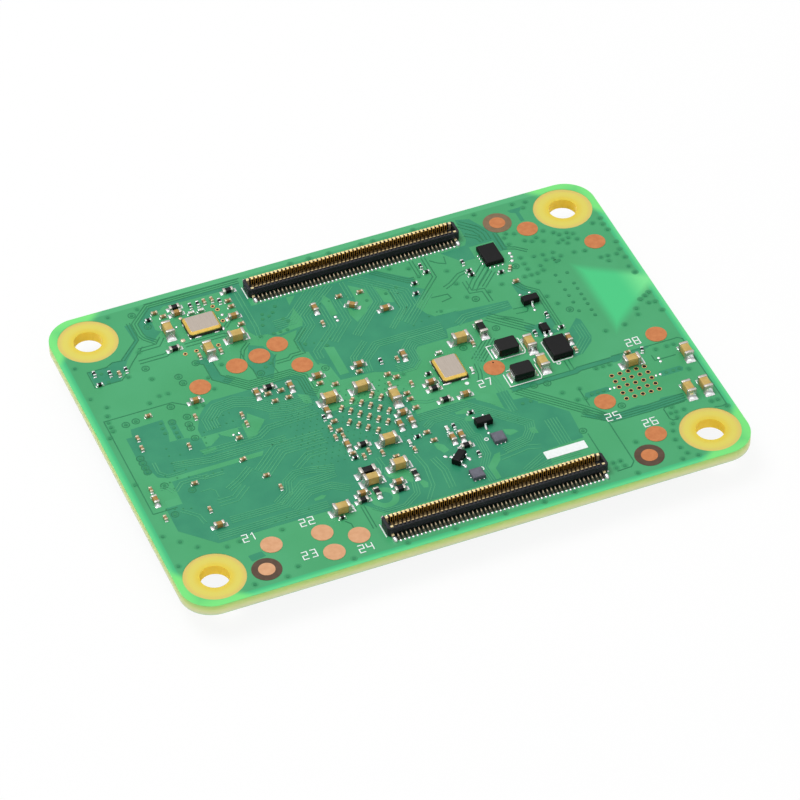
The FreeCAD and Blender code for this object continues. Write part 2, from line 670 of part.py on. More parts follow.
def package_nodes():
    """The crystals, inductors, chips and transistors of the connector side."""
    cores, straps = inductors(INDUCTOR_PLACES)
    transistors = [placed(leaded_body(TRANSISTOR_SIZE), place) for place in TRANSISTOR_PLACES]
    leads = three_leads(TRANSISTOR_SIZE, TRANSISTOR_LEAD_PITCH)
    sensors = [placed(bevelled_block(SENSOR_SIZE, 0, MOULD_BEVEL), place) for place in SENSOR_PLACES]
    return {
        "far_crystal_base": placed(crystal_base(), TALL_CRYSTAL_PLACE),
        "far_crystal_lid": placed(crystal_lid(), TALL_CRYSTAL_PLACE),
        "middle_crystal_base": placed(crystal_base(), MIDDLE_CRYSTAL_PLACE),
        "middle_crystal_lid": placed(crystal_lid(), MIDDLE_CRYSTAL_PLACE),
        "inductor_cores": cores,
        "inductor_straps": straps,
        "regulator_chip": placed(bevelled_block(REGULATOR_SIZE, 0, MOULD_BEVEL), REGULATOR_PLACE),
        "bridge_chip": placed(bevelled_block(BRIDGE_SIZE, 0, MOULD_BEVEL), BRIDGE_PLACE),
        "sensor_chips": group(sensors),
        "transistor_bodies": group(transistors),
        "transistor_leads": group([placed(leads, place) for place in TRANSISTOR_PLACES]),
        "switch_body": placed(leaded_body(SWITCH_SIZE), SWITCH_PLACE),
        "switch_leads": placed(three_leads(SWITCH_SIZE, SWITCH_LEAD_PITCH), SWITCH_PLACE),
    }


def hung(shape, place):
    """A shape made standing up, hung from the underside at the given place."""
    return placed(flipped(shape), place)


def underside_nodes():
    """The parts of the hidden side."""
    core, straps = flipped(inductor_core()), flipped(inductor_straps())
    capacitor = flipped(centred_box(MEDIUM_CHIP))
    return {
        "processor_substrate": hung(processor_substrate(), PROCESSOR_PLACE),
        "processor_lid": hung(processor_lid(), PROCESSOR_PLACE),
        "memory_chip": hung(centred_box(MEMORY_SIZE), MEMORY_PLACE),
        "storage_chip": hung(centred_box(STORAGE_SIZE), STORAGE_PLACE),
        "radio_base": hung(radio_base(), RADIO_PLACE),
        "radio_shield": hung(radio_shield(), RADIO_PLACE),
        "network_chip": hung(centred_box(NETWORK_SIZE), NETWORK_PLACE),
        "power_chip": hung(centred_box(POWER_SIZE), POWER_PLACE),
        "underside_inductor_cores": group([placed(core, place) for place in UNDERSIDE_INDUCTOR_PLACES]),
        "underside_inductor_straps": group([placed(straps, place) for place in UNDERSIDE_INDUCTOR_PLACES]),
        "underside_crystal_base": hung(crystal_base(), UNDERSIDE_CRYSTAL_PLACE),
        "underside_crystal_lid": hung(crystal_lid(), UNDERSIDE_CRYSTAL_PLACE),
        "aerial_socket_base": hung(socket_base(), SOCKET_PLACE),
        "aerial_socket_ring": hung(socket_ring(), SOCKET_PLACE),
        "aerial_socket_pin": hung(socket_pin(), SOCKET_PLACE),
        "underside_capacitors": group([placed(capacitor, place) for place in underside_capacitor_places()]),
    }


nodes = {"circuit_board": circuit_board()}
nodes.update(connector_nodes())
nodes.update(chip_nodes())
nodes.update(package_nodes())
nodes.update(underside_nodes())

os.makedirs("parts", exist_ok=True)
for name, shape in nodes.items():
    shape.exportStep("parts/" + name + ".step")
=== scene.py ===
"""Looks for the plug-in processor board: finishes, chips, solder, printed copper and the studio round it."""

import math

import bmesh
import bpy
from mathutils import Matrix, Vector
from mathutils.geometry import tessellate_polygon


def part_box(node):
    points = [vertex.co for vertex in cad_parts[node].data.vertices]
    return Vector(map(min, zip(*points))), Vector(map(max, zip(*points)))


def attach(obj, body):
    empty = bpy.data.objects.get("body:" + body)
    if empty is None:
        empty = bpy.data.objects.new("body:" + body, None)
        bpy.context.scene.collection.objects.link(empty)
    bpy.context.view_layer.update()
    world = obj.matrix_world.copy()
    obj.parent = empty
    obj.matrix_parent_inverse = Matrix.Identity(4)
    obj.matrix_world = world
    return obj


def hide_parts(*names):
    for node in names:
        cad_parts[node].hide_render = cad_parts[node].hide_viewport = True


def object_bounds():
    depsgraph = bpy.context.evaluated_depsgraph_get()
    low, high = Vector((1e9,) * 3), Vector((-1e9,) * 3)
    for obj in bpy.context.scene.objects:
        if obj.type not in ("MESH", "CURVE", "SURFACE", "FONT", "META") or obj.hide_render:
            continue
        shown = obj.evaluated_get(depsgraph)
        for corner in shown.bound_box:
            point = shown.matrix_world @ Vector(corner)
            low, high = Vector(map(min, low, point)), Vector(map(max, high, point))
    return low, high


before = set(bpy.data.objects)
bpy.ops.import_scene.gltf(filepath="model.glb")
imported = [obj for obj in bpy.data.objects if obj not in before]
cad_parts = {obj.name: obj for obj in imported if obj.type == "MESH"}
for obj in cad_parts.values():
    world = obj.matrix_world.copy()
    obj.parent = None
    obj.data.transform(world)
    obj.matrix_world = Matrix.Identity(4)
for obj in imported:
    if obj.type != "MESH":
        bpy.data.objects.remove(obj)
frame_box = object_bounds()

MILLIMETRE = 0.001
# Points of the frame's meshes that are nearer than this, in metres, are one point
SAME_POINT = 1e-7

# The board, from the frame
BOARD_LOW, BOARD_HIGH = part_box("circuit_board")
BOARD_LENGTH = (BOARD_HIGH.x - BOARD_LOW.x) / MILLIMETRE
BOARD_WIDTH = (BOARD_HIGH.y - BOARD_LOW.y) / MILLIMETRE
BOARD_THICKNESS = (BOARD_HIGH.z - BOARD_LOW.z) / MILLIMETRE
CORNER_RADIUS = 3.0
HOLE_INSET = 3.5
HOLE_RADIUS = 1.35
HOLE_X = BOARD_LENGTH / 2 - HOLE_INSET
HOLE_Y = BOARD_WIDTH / 2 - HOLE_INSET
CORNERS = ((1, 1), (-1, 1), (-1, -1), (1, -1))
BARE_RING_RADIUS = 2.84
MASK = 0.03

# The two connectors, from the frame
FAR_LOW, FAR_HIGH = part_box("far_connector_housing")
NEAR_LOW, NEAR_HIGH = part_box("near_connector_housing")
CONNECTOR_X = (FAR_LOW.x + FAR_HIGH.x) / 2 / MILLIMETRE
FAR_ROW = (FAR_LOW.y + FAR_HIGH.y) / 2 / MILLIMETRE
NEAR_ROW = (NEAR_LOW.y + NEAR_HIGH.y) / 2 / MILLIMETRE
CONTACT_COUNT = 50
CONTACT_PITCH = 0.4
FIRST_CONTACT = CONNECTOR_X - (CONTACT_COUNT - 1) / 2 * CONTACT_PITCH
CONTACT_COLUMNS = [FIRST_CONTACT + index * CONTACT_PITCH for index in range(CONTACT_COUNT)]

# Heights of what is printed on the board's face, so that no two fields share a plane
FIELD_TOP = 0.002
ISLAND_TOP = 0.008
GAP_TOP = 0.014
TRACK_TOP = 0.02
VIA_TOP = 0.026
PAD_TOP = 0.04
PRINT_TOP = 0.046
FIELD_STEP = 0.0004
FIELD_STEPS = 12


# Mesh tools, all in millimetres

SMOOTH_DEGREES = 40.0


class Place:
    """Where a part sits: its middle, its turn in degrees, and which face of the board it stands on."""

    def __init__(self, x, y, degrees=0.0, under=False):
        self.x = x
        self.y = y
        self.degrees = degrees
        self.under = under

    def put(self, point):
        """A point of the part, with z counted from the board's face, in the frame's own directions."""
        cosine = math.cos(math.radians(self.degrees))
        sine = math.sin(math.radians(self.degrees))
        x, y, z = point
        height = -BOARD_THICKNESS - z if self.under else z
        return (self.x + x * cosine - y * sine, self.y + x * sine + y * cosine, height)

    def beside(self, x, y, turned=0.0):
        """Another place, measured from this one in its own directions."""
        moved = self.put((x, y, 0.0))
        return Place(moved[0], moved[1], self.degrees + turned, self.under)


ORIGIN = Place(0.0, 0.0)
UNDERSIDE = Place(0.0, 0.0, 0.0, True)


class Shape:
    """Gathers the closed solids of one piece and makes its mesh."""

    def __init__(self):
        self.points = []
        self.faces = []
        self.fields = 0

    def add(self, points, faces):
        """Adds one solid."""
        first = len(self.points)
        self.points.extend(points)
        self.faces.extend(tuple(first + corner for corner in face) for face in faces)

    def lift(self):
        """A small height of its own for the next field, so that fields that cross don't share a plane."""
        self.fields += 1
        return (self.fields % FIELD_STEPS) * FIELD_STEP

    def make(self, name, finish, replaced=()):
        """Makes the piece, with its finish, on the frame's only body."""
        mesh = bpy.data.meshes.new(name)
        mesh.from_pydata([[value * MILLIMETRE for value in point] for point in self.points], [], self.faces)
        work = bmesh.new()
        work.from_mesh(mesh)
        bmesh.ops.recalc_face_normals(work, faces=work.faces)
        work.to_mesh(mesh)
        work.free()
        mesh.materials.append(finish)
        mesh.shade_smooth()
        mesh.set_sharp_from_angle(angle=math.radians(SMOOTH_DEGREES))
        piece = bpy.data.objects.new(name, mesh)
        bpy.context.scene.collection.objects.link(piece)
        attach(piece, "root")
        if replaced:
            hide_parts(*replaced)


def circle(x, y, radius, corners):
    """Points round a circle."""
    turns = [2 * math.pi * step / corners for step in range(corners)]
    return [(x + radius * math.cos(turn), y + radius * math.sin(turn)) for turn in turns]


SHARP_CORNER = 0.05


def rounded_outline(length, width, radius=SHARP_CORNER, steps=2):
    """Points round a rectangle with round corners, about the origin."""
    outline = []
    for quarter, (side_x, side_y) in enumerate(CORNERS):
        middle_x = side_x * (length / 2 - radius)
        middle_y = side_y * (width / 2 - radius)
        for step in range(steps + 1):
            turn = math.radians(90 * (quarter + step / steps))
            outline.append((middle_x + radius * math.cos(turn), middle_y + radius * math.sin(turn)))
    return outline


def walls(lower, upper, count):
    """Faces between two closed rows of points, each row given by the number of its first point."""
    faces = []
    for corner in range(count):
        after = (corner + 1) % count
        faces.append((lower + corner, lower + after, upper + after, upper + corner))
    return faces


def prism(shape, outline, low, high, place=ORIGIN):
    """A solid with straight walls over a convex outline."""
    count = len(outline)
    points = [place.put((x, y, level)) for level in (low, high) for x, y in outline]
    shape.add(points, [tuple(range(count)), tuple(range(count, 2 * count))] + walls(0, count, count))


def plate(shape, loops, low, high):
    """A solid with straight walls over any outline. The first loop is the outline, the others are holes."""
    flat = [point for loop in loops for point in loop]
    count = len(flat)
    triangles = tessellate_polygon([[Vector((x, y, 0.0)) for x, y in loop] for loop in loops])
    faces = [tuple(first + corner for corner in triangle) for first in (0, count) for triangle in triangles]
    start = 0
    for loop in loops:
        faces += walls(start, count + start, len(loop))
        start += len(loop)
    shape.add([(x, y, level) for level in (low, high) for x, y in flat], faces)


def ring(shape, x, y, inner, outer, low, high, corners=24):
    """A flat ring."""
    rows = ((inner, low), (outer, low), (outer, high), (inner, high))
    points = [(px, py, level) for radius, level in rows for px, py in circle(x, y, radius, corners)]
    faces = []
    for row in range(len(rows)):
        faces += walls(row * corners, (row + 1) % len(rows) * corners, corners)
    shape.add(points, faces)


SHARPEST_CORNER = 0.2


def offset_path(path, distance):
    """A path beside another one, at one distance to its left, with mitred corners."""
    normals = []
    for start, end in zip(path, path[1:]):
        reach = math.dist(start, end)
        normals.append(((start[1] - end[1]) / reach, (end[0] - start[0]) / reach))
    moved = []
    for index, (x, y) in enumerate(path):
        beside = normals[max(index - 1, 0) : index + 1]
        mean_x = sum(normal[0] for normal in beside) / len(beside)
        mean_y = sum(normal[1] for normal in beside) / len(beside)
        stretch = distance / max(mean_x**2 + mean_y**2, SHARPEST_CORNER)
        moved.append((x + mean_x * stretch, y + mean_y * stretch))
    return moved


def ribbon(shape, path, width, low, high, place=ORIGIN):
    """A flat line of one width along a path."""
    count = len(path)
    sides = offset_path(path, width / 2) + offset_path(path, -width / 2)
    points = [place.put((x, y, level)) for level in (low, high) for x, y in sides]
    faces = []
    for here in range(count - 1):
        after = here + 1
        faces.append((here, after, count + after, count + here))
        faces.append(tuple(2 * count + corner for corner in faces[-1]))
        faces.append((here, after, 2 * count + after, 2 * count + here))
        faces.append((count + here, count + after, 3 * count + after, 3 * count + here))
    for end in (0, count - 1):
        faces.append((end, count + end, 3 * count + end, 2 * count + end))
    shape.add(points, faces)


def rounded_box(shape, place, low, high, radius, steps=2):
    """A box between two corners, in the place's own directions, with rounded edges."""
    middle = [(a + b) / 2 for a, b in zip(low, high)]
    reach = [(b - a) / 2 - radius for a, b in zip(low, high)]

    def corner_point(quarter, step, level, side):
        side_x, side_y = CORNERS[quarter]
        azimuth = math.pi / 2 * (quarter + step / steps)
        polar = math.pi / 2 * level / steps
        flat = radius * math.sin(polar)
        x = middle[0] + side_x * reach[0] + flat * math.cos(azimuth)
        y = middle[1] + side_y * reach[1] + flat * math.sin(azimuth)
        return place.put((x, y, middle[2] + side * (reach[2] + radius * math.cos(polar))))

    points = [corner_point(quarter, 0, 0, 1) for quarter in range(4)]
    levels = [(1, step) for step in range(1, steps + 1)] + [(-1, step) for step in range(steps, 0, -1)]
    for side, level in levels:
        for quarter in range(4):
            points += [corner_point(quarter, step, level, side) for step in range(steps + 1)]
    points += [corner_point(quarter, 0, 0, -1) for quarter in range(4)]
    around = 4 * (steps + 1)
    last = 4 + len(levels) * around
    faces = [(0, 1, 2, 3), (last, last + 1, last + 2, last + 3)]
    for pole, first in ((0, 4), (last, last - around)):
        for corner in range(around):
            quarter = corner // (steps + 1)
            face = (pole + quarter, first + corner, first + (corner + 1) % around)
            between = (corner + 1) % (steps + 1) == 0
            faces.append(face + (pole + (quarter + 1) % 4,) if between else face)
    for first in range(4, last - around, around):
        faces += walls(first, first + around, around)
    shape.add(points, faces)


FILLET_STEPS = 6
FILLET_ARCH = ((-1.0, 0.0), (-0.96, 0.55), (-0.7, 0.9), (0.0, 1.0), (0.7, 0.9), (0.96, 0.55), (1.0, 0.0))
FILLET_TOE = 0.035
FILLET_HOLLOW = 2.4
FILLET_FLARE = 1.06


def fillet(shape, place, reach, width, height, waist=0.8):
    """Solder that climbs to a part's end: narrow at the part, wide on the board, along the place's x."""
    points = []
    for step in range(FILLET_STEPS + 1):
        share = step / FILLET_STEPS
        level = height * (1 - share) ** FILLET_HOLLOW + FILLET_TOE
        half = width / 2 * (waist + (FILLET_FLARE - waist) * share)
        points += [place.put((reach * share, half * x, level * z)) for x, z in FILLET_ARCH]
    across = len(FILLET_ARCH)
    last = FILLET_STEPS * across
    faces = [tuple(range(across)), tuple(range(last, last + across))]
    for first in range(0, last, across):
        faces += walls(first, first + across, across)
    shape.add(points, faces)


DOME_LEVELS = ((1.0, 0.0), (0.96, 0.35), (0.75, 0.72), (0.4, 0.95))


def dome(shape, place, radius, height, stretch=1.0, corners=14):
    """A low round drop of solder, longer along the place's x where stretch is more than one."""
    points = []
    for share, level in DOME_LEVELS:
        rim = circle(0.0, 0.0, radius * share, corners)
        points += [place.put((x * stretch, y, height * level)) for x, y in rim]
    points.append(place.put((0.0, 0.0, height)))
    last = (len(DOME_LEVELS) - 1) * corners
    faces = [tuple(range(corners))]
    for first in range(0, last, corners):
        faces += walls(first, first + corners, corners)
    faces += [(last + corner, last + (corner + 1) % corners, len(points) - 1) for corner in range(corners)]
    shape.add(points, faces)


def standing_parts(node):
    """Each separate solid of a CAD node, as its place on the board and its length, width, foot and height."""
    work = bmesh.new()
    work.from_mesh(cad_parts[node].data)
    bmesh.ops.remove_doubles(work, verts=work.verts, dist=SAME_POINT)
    seen = set()
    parts = []
    for first in work.verts:
        if first in seen:
            continue
        seen.add(first)
        group = [first]
        for vertex in group:
            for edge in vertex.link_edges:
                other = edge.other_vert(vertex)
                if other not in seen:
                    seen.add(other)
                    group.append(other)
        parts.append(measured([vertex.co / MILLIMETRE for vertex in group]))
    work.free()
    return sorted(parts, key=lambda part: (part[0].x, part[0].y))


def measured(points):
    """The place and size of one solid, with its longer side along the place's x."""
    middle = sum(points, Vector()) / len(points)
    spread_x = sum((point.x - middle.x) ** 2 for point in points)
    spread_y = sum((point.y - middle.y) ** 2 for point in points)
    shared = sum((point.x - middle.x) * (point.y - middle.y) for point in points)
    turn = math.atan2(2 * shared, spread_x - spread_y) / 2
    along = [point.x * math.cos(turn) + point.y * math.sin(turn) for point in points]
    across = [point.y * math.cos(turn) - point.x * math.sin(turn) for point in points]
    centre_along = (min(along) + max(along)) / 2
    centre_across = (min(across) + max(across)) / 2
    x = centre_along * math.cos(turn) - centre_across * math.sin(turn)
    y = centre_along * math.sin(turn) + centre_across * math.cos(turn)
    low = min(point.z for point in points)
    high = max(point.z for point in points)
    under = low < -BOARD_THICKNESS / 2
    foot, top = (-BOARD_THICKNESS - high, -BOARD_THICKNESS - low) if under else (low, high)
    place = Place(x, y, math.degrees(turn), under)
    return place, max(along) - min(along), max(across) - min(across), foot, top


# Finishes

SCREEN_GAMMA = 2.2
EVEN = (1.0, 1.0, 1.0)
WHITE = (1.0, 1.0, 1.0, 1.0)
# A surface whose normal is at least this upright counts as facing up
UPRIGHT = 0.85


def tint(colour):
    """A colour as the screen shows it, from 0 to 255, as the numbers that a shader takes."""
    return tuple((value / 255) ** SCREEN_GAMMA for value in colour) + (1.0,)


def feed(tree, socket, value):
    """Sets a node's input to a plain value, or links it to a field or to another node's output."""
    if isinstance(value, Field):
        value = value.socket
    if isinstance(value, bpy.types.NodeSocket):
        tree.links.new(value, socket)
    else:
        socket.default_value = value


def add_node(tree, kind, inputs):
    """A new node with its inputs, given by name or by number, fed."""
    node = tree.nodes.new(kind)
    for name, value in inputs.items():
        feed(tree, node.inputs[name], value)
    return node


def operate(tree, operation, *values):
    """The result of one operation on fields or plain numbers."""
    node = add_node(tree, "ShaderNodeMath", dict(enumerate(values)))
    node.operation = operation
    return Field(tree, node.outputs["Value"])


class Field:
    """A number that varies over a surface. Sums work on it as they do on a plain number."""

    def __init__(self, tree, socket):
        self.tree = tree
        self.socket = socket

    def __add__(self, other):
        return operate(self.tree, "ADD", self, other)

    def __sub__(self, other):
        return operate(self.tree, "SUBTRACT", self, other)

    def __rsub__(self, other):
        return operate(self.tree, "SUBTRACT", other, self)

    def __mul__(self, other):
        return operate(self.tree, "MULTIPLY", self, other)

    def __abs__(self):
        return operate(self.tree, "ABSOLUTE", self)

    def rise(self, low, high):
        """Nought below one value, one above another, and a smooth rise between."""
        node = add_node(self.tree, "ShaderNodeMapRange", {"From Min": low, "From Max": high, "Value": self})
        node.interpolation_type = "SMOOTHSTEP"
        return Field(self.tree, node.outputs["Result"])


class Finish:
    """A procedural material. Sizes and places are in millimetres, colours as in tint."""

    def __init__(self, name, colour, roughness, metallic=0.0, specular=0.5):
        self.material = bpy.data.materials.new(name)
        self.material.use_nodes = True
        self.tree = self.material.node_tree
        self.shader = self.tree.nodes["Principled BSDF"]
        self.position = self.tree.nodes.new("ShaderNodeTexCoord").outputs["Object"]
        self.give("Base Color", tint(colour))
        self.give("Roughness", roughness)
        self.give("Metallic", metallic)
        self.give("Specular IOR Level", specular)

    def give(self, name, value):
        """Feeds one input of the shader."""
        feed(self.tree, self.shader.inputs[name], value)

    def noise(self, size, stretch=EVEN, detail=2.0):
        """Noise with features of about one size, longer along an axis where stretch is more than one."""
        scale = [1 / (size * MILLIMETRE * factor) for factor in stretch]
        mapping = add_node(self.tree, "ShaderNodeMapping", {"Vector": self.position, "Scale": scale})
        inputs = {"Vector": mapping.outputs["Vector"], "Scale": 1.0, "Detail": detail}
        return Field(self.tree, add_node(self.tree, "ShaderNodeTexNoise", inputs).outputs["Fac"])

    def ramp(self, factor, stops):
        """Colours along a factor, each stop a position and a colour."""
        node = add_node(self.tree, "ShaderNodeValToRGB", {"Fac": factor})
        elements = node.color_ramp.elements
        for index, (position, colour) in enumerate(stops):
            stop = elements[index] if index < 2 else elements.new(position)
            stop.position = position
            stop.color = tint(colour)
        return node.outputs["Color"]

    def mix(self, factor, first, second):
        """Blends two colours, each a colour or a node's output."""
        node = self.tree.nodes.new("ShaderNodeMix")
        node.data_type = "RGBA"
        feed(self.tree, node.inputs["Factor"], factor)
        colour_inputs = [socket for socket in node.inputs if socket.type == "RGBA"]
        for socket, value in zip(colour_inputs, (first, second)):
            feed(self.tree, socket, tint(value) if isinstance(value, tuple) else value)
        return [socket for socket in node.outputs if socket.type == "RGBA"][0]

    def mottle(self, size, colour, other):
        """Lets the colour wander to another one and back."""
        self.give("Base Color", self.ramp(self.noise(size), [(0.35, colour), (0.65, other)]))

    def grain(self, size, depth, stretch=EVEN):
        """A fine unevenness of the surface."""
        inputs = {"Strength": 1.0, "Distance": depth * MILLIMETRE, "Height": self.noise(size, stretch)}
        self.give("Normal", add_node(self.tree, "ShaderNodeBump", inputs).outputs["Normal"])

    def smears(self, size, low, high):
        """Lets the roughness wander between two values."""
        inputs = {"To Min": low, "To Max": high, "Value": self.noise(size)}
        self.give("Roughness", add_node(self.tree, "ShaderNodeMapRange", inputs).outputs["Result"])

    def part(self, vector, name):
        """One coordinate of a vector."""
        split = add_node(self.tree, "ShaderNodeSeparateXYZ", {"Vector": vector})
        return Field(self.tree, split.outputs[name])

    def axis(self, name):
        """One coordinate of the position."""
        return self.part(self.position, name) * (1 / MILLIMETRE)

    def facing_up(self):
        """One where a surface faces away from the board, nought on its sides."""
        normal = self.tree.nodes.new("ShaderNodeNewGeometry").outputs["Normal"]
        return operate(self.tree, "GREATER_THAN", abs(self.part(normal, "Z")), UPRIGHT)

    def hole_distance(self):
        """How far a point is from the nearest corner hole's middle."""
        x = abs(self.axis("X")) - HOLE_X
        y = abs(self.axis("Y")) - HOLE_Y
        return operate(self.tree, "SQRT", x * x + y * y)

    def edge_distance(self):
        """How far a point is inside the nearest straight edge."""
        x = BOARD_LENGTH / 2 - abs(self.axis("X"))
        y = BOARD_WIDTH / 2 - abs(self.axis("Y"))
        return operate(self.tree, "MINIMUM", x, y)

    def line_distance(self, x, y, toward_x, toward_y):
        """How far a point is beyond the line through a place, in one direction."""
        length = math.hypot(toward_x, toward_y)
        along = (self.axis("X") - x) * (toward_x / length)
        return along + (self.axis("Y") - y) * (toward_y / length)


SMEAR_REACH = 1.7
GLOSS_SPREAD = 0.08
LEAST_ROUGHNESS = 0.05
MATT = 0.2
MASK_SPECULAR = 0.35


def dull(name, colour, other, roughness, size, depth, specular=0.5, bump_size=0.08, metallic=0.0):
    """A finish with a colour that wanders to another one, a fine grain and uneven gloss."""
    made = Finish(name, colour, roughness, metallic, specular)
    made.mottle(size, colour, other)
    made.grain(bump_size, depth)
    made.smears(size * SMEAR_REACH, max(roughness - GLOSS_SPREAD, LEAST_ROUGHNESS), roughness + GLOSS_SPREAD)
    return made.material


def metal(name, colour, other, roughness, metallic, size=0.2, depth=0.001, bump_size=0.08):
    """The same with a share of metal in it."""
    return dull(name, colour, other, roughness, size, depth, bump_size=bump_size, metallic=metallic)


# Where no inner copper stands, light comes through, painted into the colour: a fan at the right edge.
# Each of its sides is a place on it and the direction inward.
CLEAR_FAN = ((21.4, 0.0, 1.0, 0.0), (21.8, 8.9, -0.62, -1.0), (22.0, -1.2, -0.8, 1.0))
CORNER_CUT_X = 22.3
CORNER_CUT_Y = 15.0
BORDER = 0.65
BORDER_BLUR = 0.08


def mask_finish():
    """Green solder mask: brighter where no copper lies behind it, as along the edge and in the corners, and
    brighter still toward the cut edge and in the fan, as painted light.
    """
    made = Finish("green_mask", (66, 158, 104), 0.36, 0.0, MASK_SPECULAR)
    copper = made.ramp(made.noise(7.0, detail=3.0), [(0.3, (62, 153, 98)), (0.7, (71, 162, 109))])
    edge = made.edge_distance()
    # Painted light: brighter right at the cut edge, where light comes through the fibreglass
    bright = made.mix(edge.rise(0.05, 0.6), (92, 208, 134), (60, 178, 118))
    border = made.mix(made.axis("Y").rise(17.0, 18.5), bright, (78, 172, 116))
    body = made.mix(edge.rise(BORDER - BORDER_BLUR, BORDER + BORDER_BLUR), border, copper)
    share_x = (abs(made.axis("X")) - CORNER_CUT_X) * (1 / (BOARD_LENGTH / 2 - BORDER - CORNER_CUT_X))
    share_y = (abs(made.axis("Y")) - CORNER_CUT_Y) * (1 / (BOARD_WIDTH / 2 - BORDER - CORNER_CUT_Y))
    # The corners lie over bare laminate; their rise toward the edge is painted light
    pale = made.mix(edge.rise(0.2, 2.0), (116, 222, 120), (90, 196, 112))
    body = made.mix((share_x + share_y).rise(0.88, 1.2), body, pale)
    first, second, third = [made.line_distance(*line) for line in CLEAR_FAN]
    inside = operate(made.tree, "MINIMUM", operate(made.tree, "MINIMUM", first, second), third)
    # Painted light in the fan, where light comes through, brightest at the cut edge
    glow = made.mix(edge.rise(0.0, 3.0), (120, 224, 142), (68, 194, 124))
    made.give("Base Color", made.mix(inside.rise(-0.2, 1.1), body, glow))
    made.grain(0.25, 0.0015)
    made.smears(1.4, 0.3, 0.42)
    return made.material


# Painted glow: light that the cut sides give out by themselves, standing in for the light that real
# fibreglass carries sideways
PAINTED_SIDE_GLOW = 0.18
STRAND_WANDER = 0.35
SIDE_TONES = (
    (0.05, (152, 196, 104)), (0.3, (178, 200, 114)), (0.65, (202, 208, 146)), (0.95, (204, 208, 168)),
)


def laminate_finish():
    """Bare fibreglass: yellow round the holes, green to pale and stranded on the cut sides, which also carry
    a painted glow.
    """
    made = Finish("bare_fibreglass", (216, 203, 92), 0.45, 0.0, 0.35)
    from_hole = made.hole_distance()
    round_hole = made.mix(from_hole.rise(1.4, 2.1), (220, 196, 66), (216, 203, 92))
    top = made.mix(from_hole.rise(2.2, BARE_RING_RADIUS), round_hole, (214, 188, 102))
    strands = made.noise(0.07, (14.0, 14.0, 1.0), 3.0)
    depth = made.axis("Z") * (-1 / BOARD_THICKNESS)
    tones = made.ramp(depth + (strands - 0.5) * STRAND_WANDER, SIDE_TONES)
    side = made.mix(from_hole.rise(1.5, 2.0), (238, 204, 72), tones)
    made.give("Base Color", made.mix(made.facing_up(), side, top))
    # A painted glow: the cut sides give out their own colour as light
    made.give("Emission Color", side)
    made.give("Emission Strength", (1.0 - made.facing_up()) * PAINTED_SIDE_GLOW)
    made.grain(0.06, 0.004, (8.0, 8.0, 1.0))
    made.give("Subsurface Weight", 0.15)
    made.give("Subsurface Radius", (0.9, 0.8, 0.3))
    made.give("Subsurface Scale", MILLIMETRE)
    return made.material


def lid_finish():
    """A crystal's lid: brushed grey plate on top, gold plated on its bevelled rim."""
    made = Finish("crystal_lid", (176, 164, 152), 0.42, 0.4)
    brushed = made.noise(0.05, (1.0, 24.0, 1.0))
    plate_colour = made.ramp(brushed, [(0.3, (172, 160, 148)), (0.7, (184, 172, 160))])
    rim = made.mix(made.noise(0.3), (226, 180, 70), (244, 208, 112))
    made.give("Base Color", made.mix(made.facing_up(), rim, plate_colour))
    made.grain(0.05, 0.001, (1.0, 20.0, 1.0))
    made.smears(0.6, 0.36, 0.46)
    return made.material


# Cream is the far hooks' painted highlight and the hold-downs' own plating. The rest is painted light on the
# contacts: shade on the blades, highlights and shade on the hooks, a glint and shade on the legs, shade on
# the feet
CREAM = (250, 230, 170)
PAINTED_SHADE_ON_BLADES = (120, 90, 34)
HOOK_PAINTED_SHADE = (34, 31, 32)
NEAR_HOOK_PAINTED_HIGHLIGHT = (226, 196, 140)
NEAR_HOOK_FAINT_PAINTED_HIGHLIGHT = (132, 114, 80)
LEG_PAINTED_GLINT = (240, 214, 172)
LEG_PAINTED_SHADE = (30, 32, 28)
FOOT_PAINTED_SHADE = (108, 106, 86)
# The wedge of the painted glint: the height where it closes, and its half width at the foot
LEG_TOP = 0.23
LEG_HALF = 0.12


def contact_finish(name, row):
    """Contact plating, by place, with painted light: highlights and shade on the hooks on top, shade on the
    blades between the walls, a glint and shade on the legs and feet outside.
    """
    made = Finish(name, CREAM, 0.3, 0.5)
    across = made.axis("Y") - row
    reach = abs(across)
    height = made.axis("Z")
    # How far a point is aside of the nearest contact's middle
    steps = (made.axis("X") - FIRST_CONTACT) * (1 / CONTACT_PITCH)
    share = operate(made.tree, "FRACT", steps + 0.5) - 0.5
    aside = abs(share) * CONTACT_PITCH
    # The far hooks carry a cream painted highlight up to their bend and painted shade beyond it; the near
    # ones a painted highlight, then painted shade, then a faint painted highlight
    far_top = made.mix(reach.rise(0.78, 0.82), CREAM, HOOK_PAINTED_SHADE)
    near_top = made.mix(reach.rise(0.62, 0.66), NEAR_HOOK_PAINTED_HIGHLIGHT, HOOK_PAINTED_SHADE)
    near_top = made.mix(reach.rise(0.81, 0.84), near_top, NEAR_HOOK_FAINT_PAINTED_HIGHLIGHT)
    hooks = made.mix(across.rise(-0.1, 0.1), near_top, far_top)
    blades = made.mix(height.rise(0.86, 1.0), PAINTED_SHADE_ON_BLADES, hooks)
    # The legs carry a pale painted glint along a wedge that narrows upward, with painted shade round it, and
    # the feet painted shade
    wedge = LEG_HALF - height * (LEG_HALF / LEG_TOP)
    slopes = made.mix((aside - wedge).rise(-0.02, 0.01), LEG_PAINTED_GLINT, LEG_PAINTED_SHADE)
    legs = made.mix(reach.rise(1.02, 1.18), slopes, FOOT_PAINTED_SHADE)
    outside = reach.rise(0.6, 0.64) * (1.0 - height.rise(0.5, 0.6))
    made.give("Base Color", made.mix(outside, blades, legs))
    made.grain(0.06, 0.001)
    made.smears(0.3, 0.24, 0.38)
    return made.material


FLOOR_GLOW = 0.9


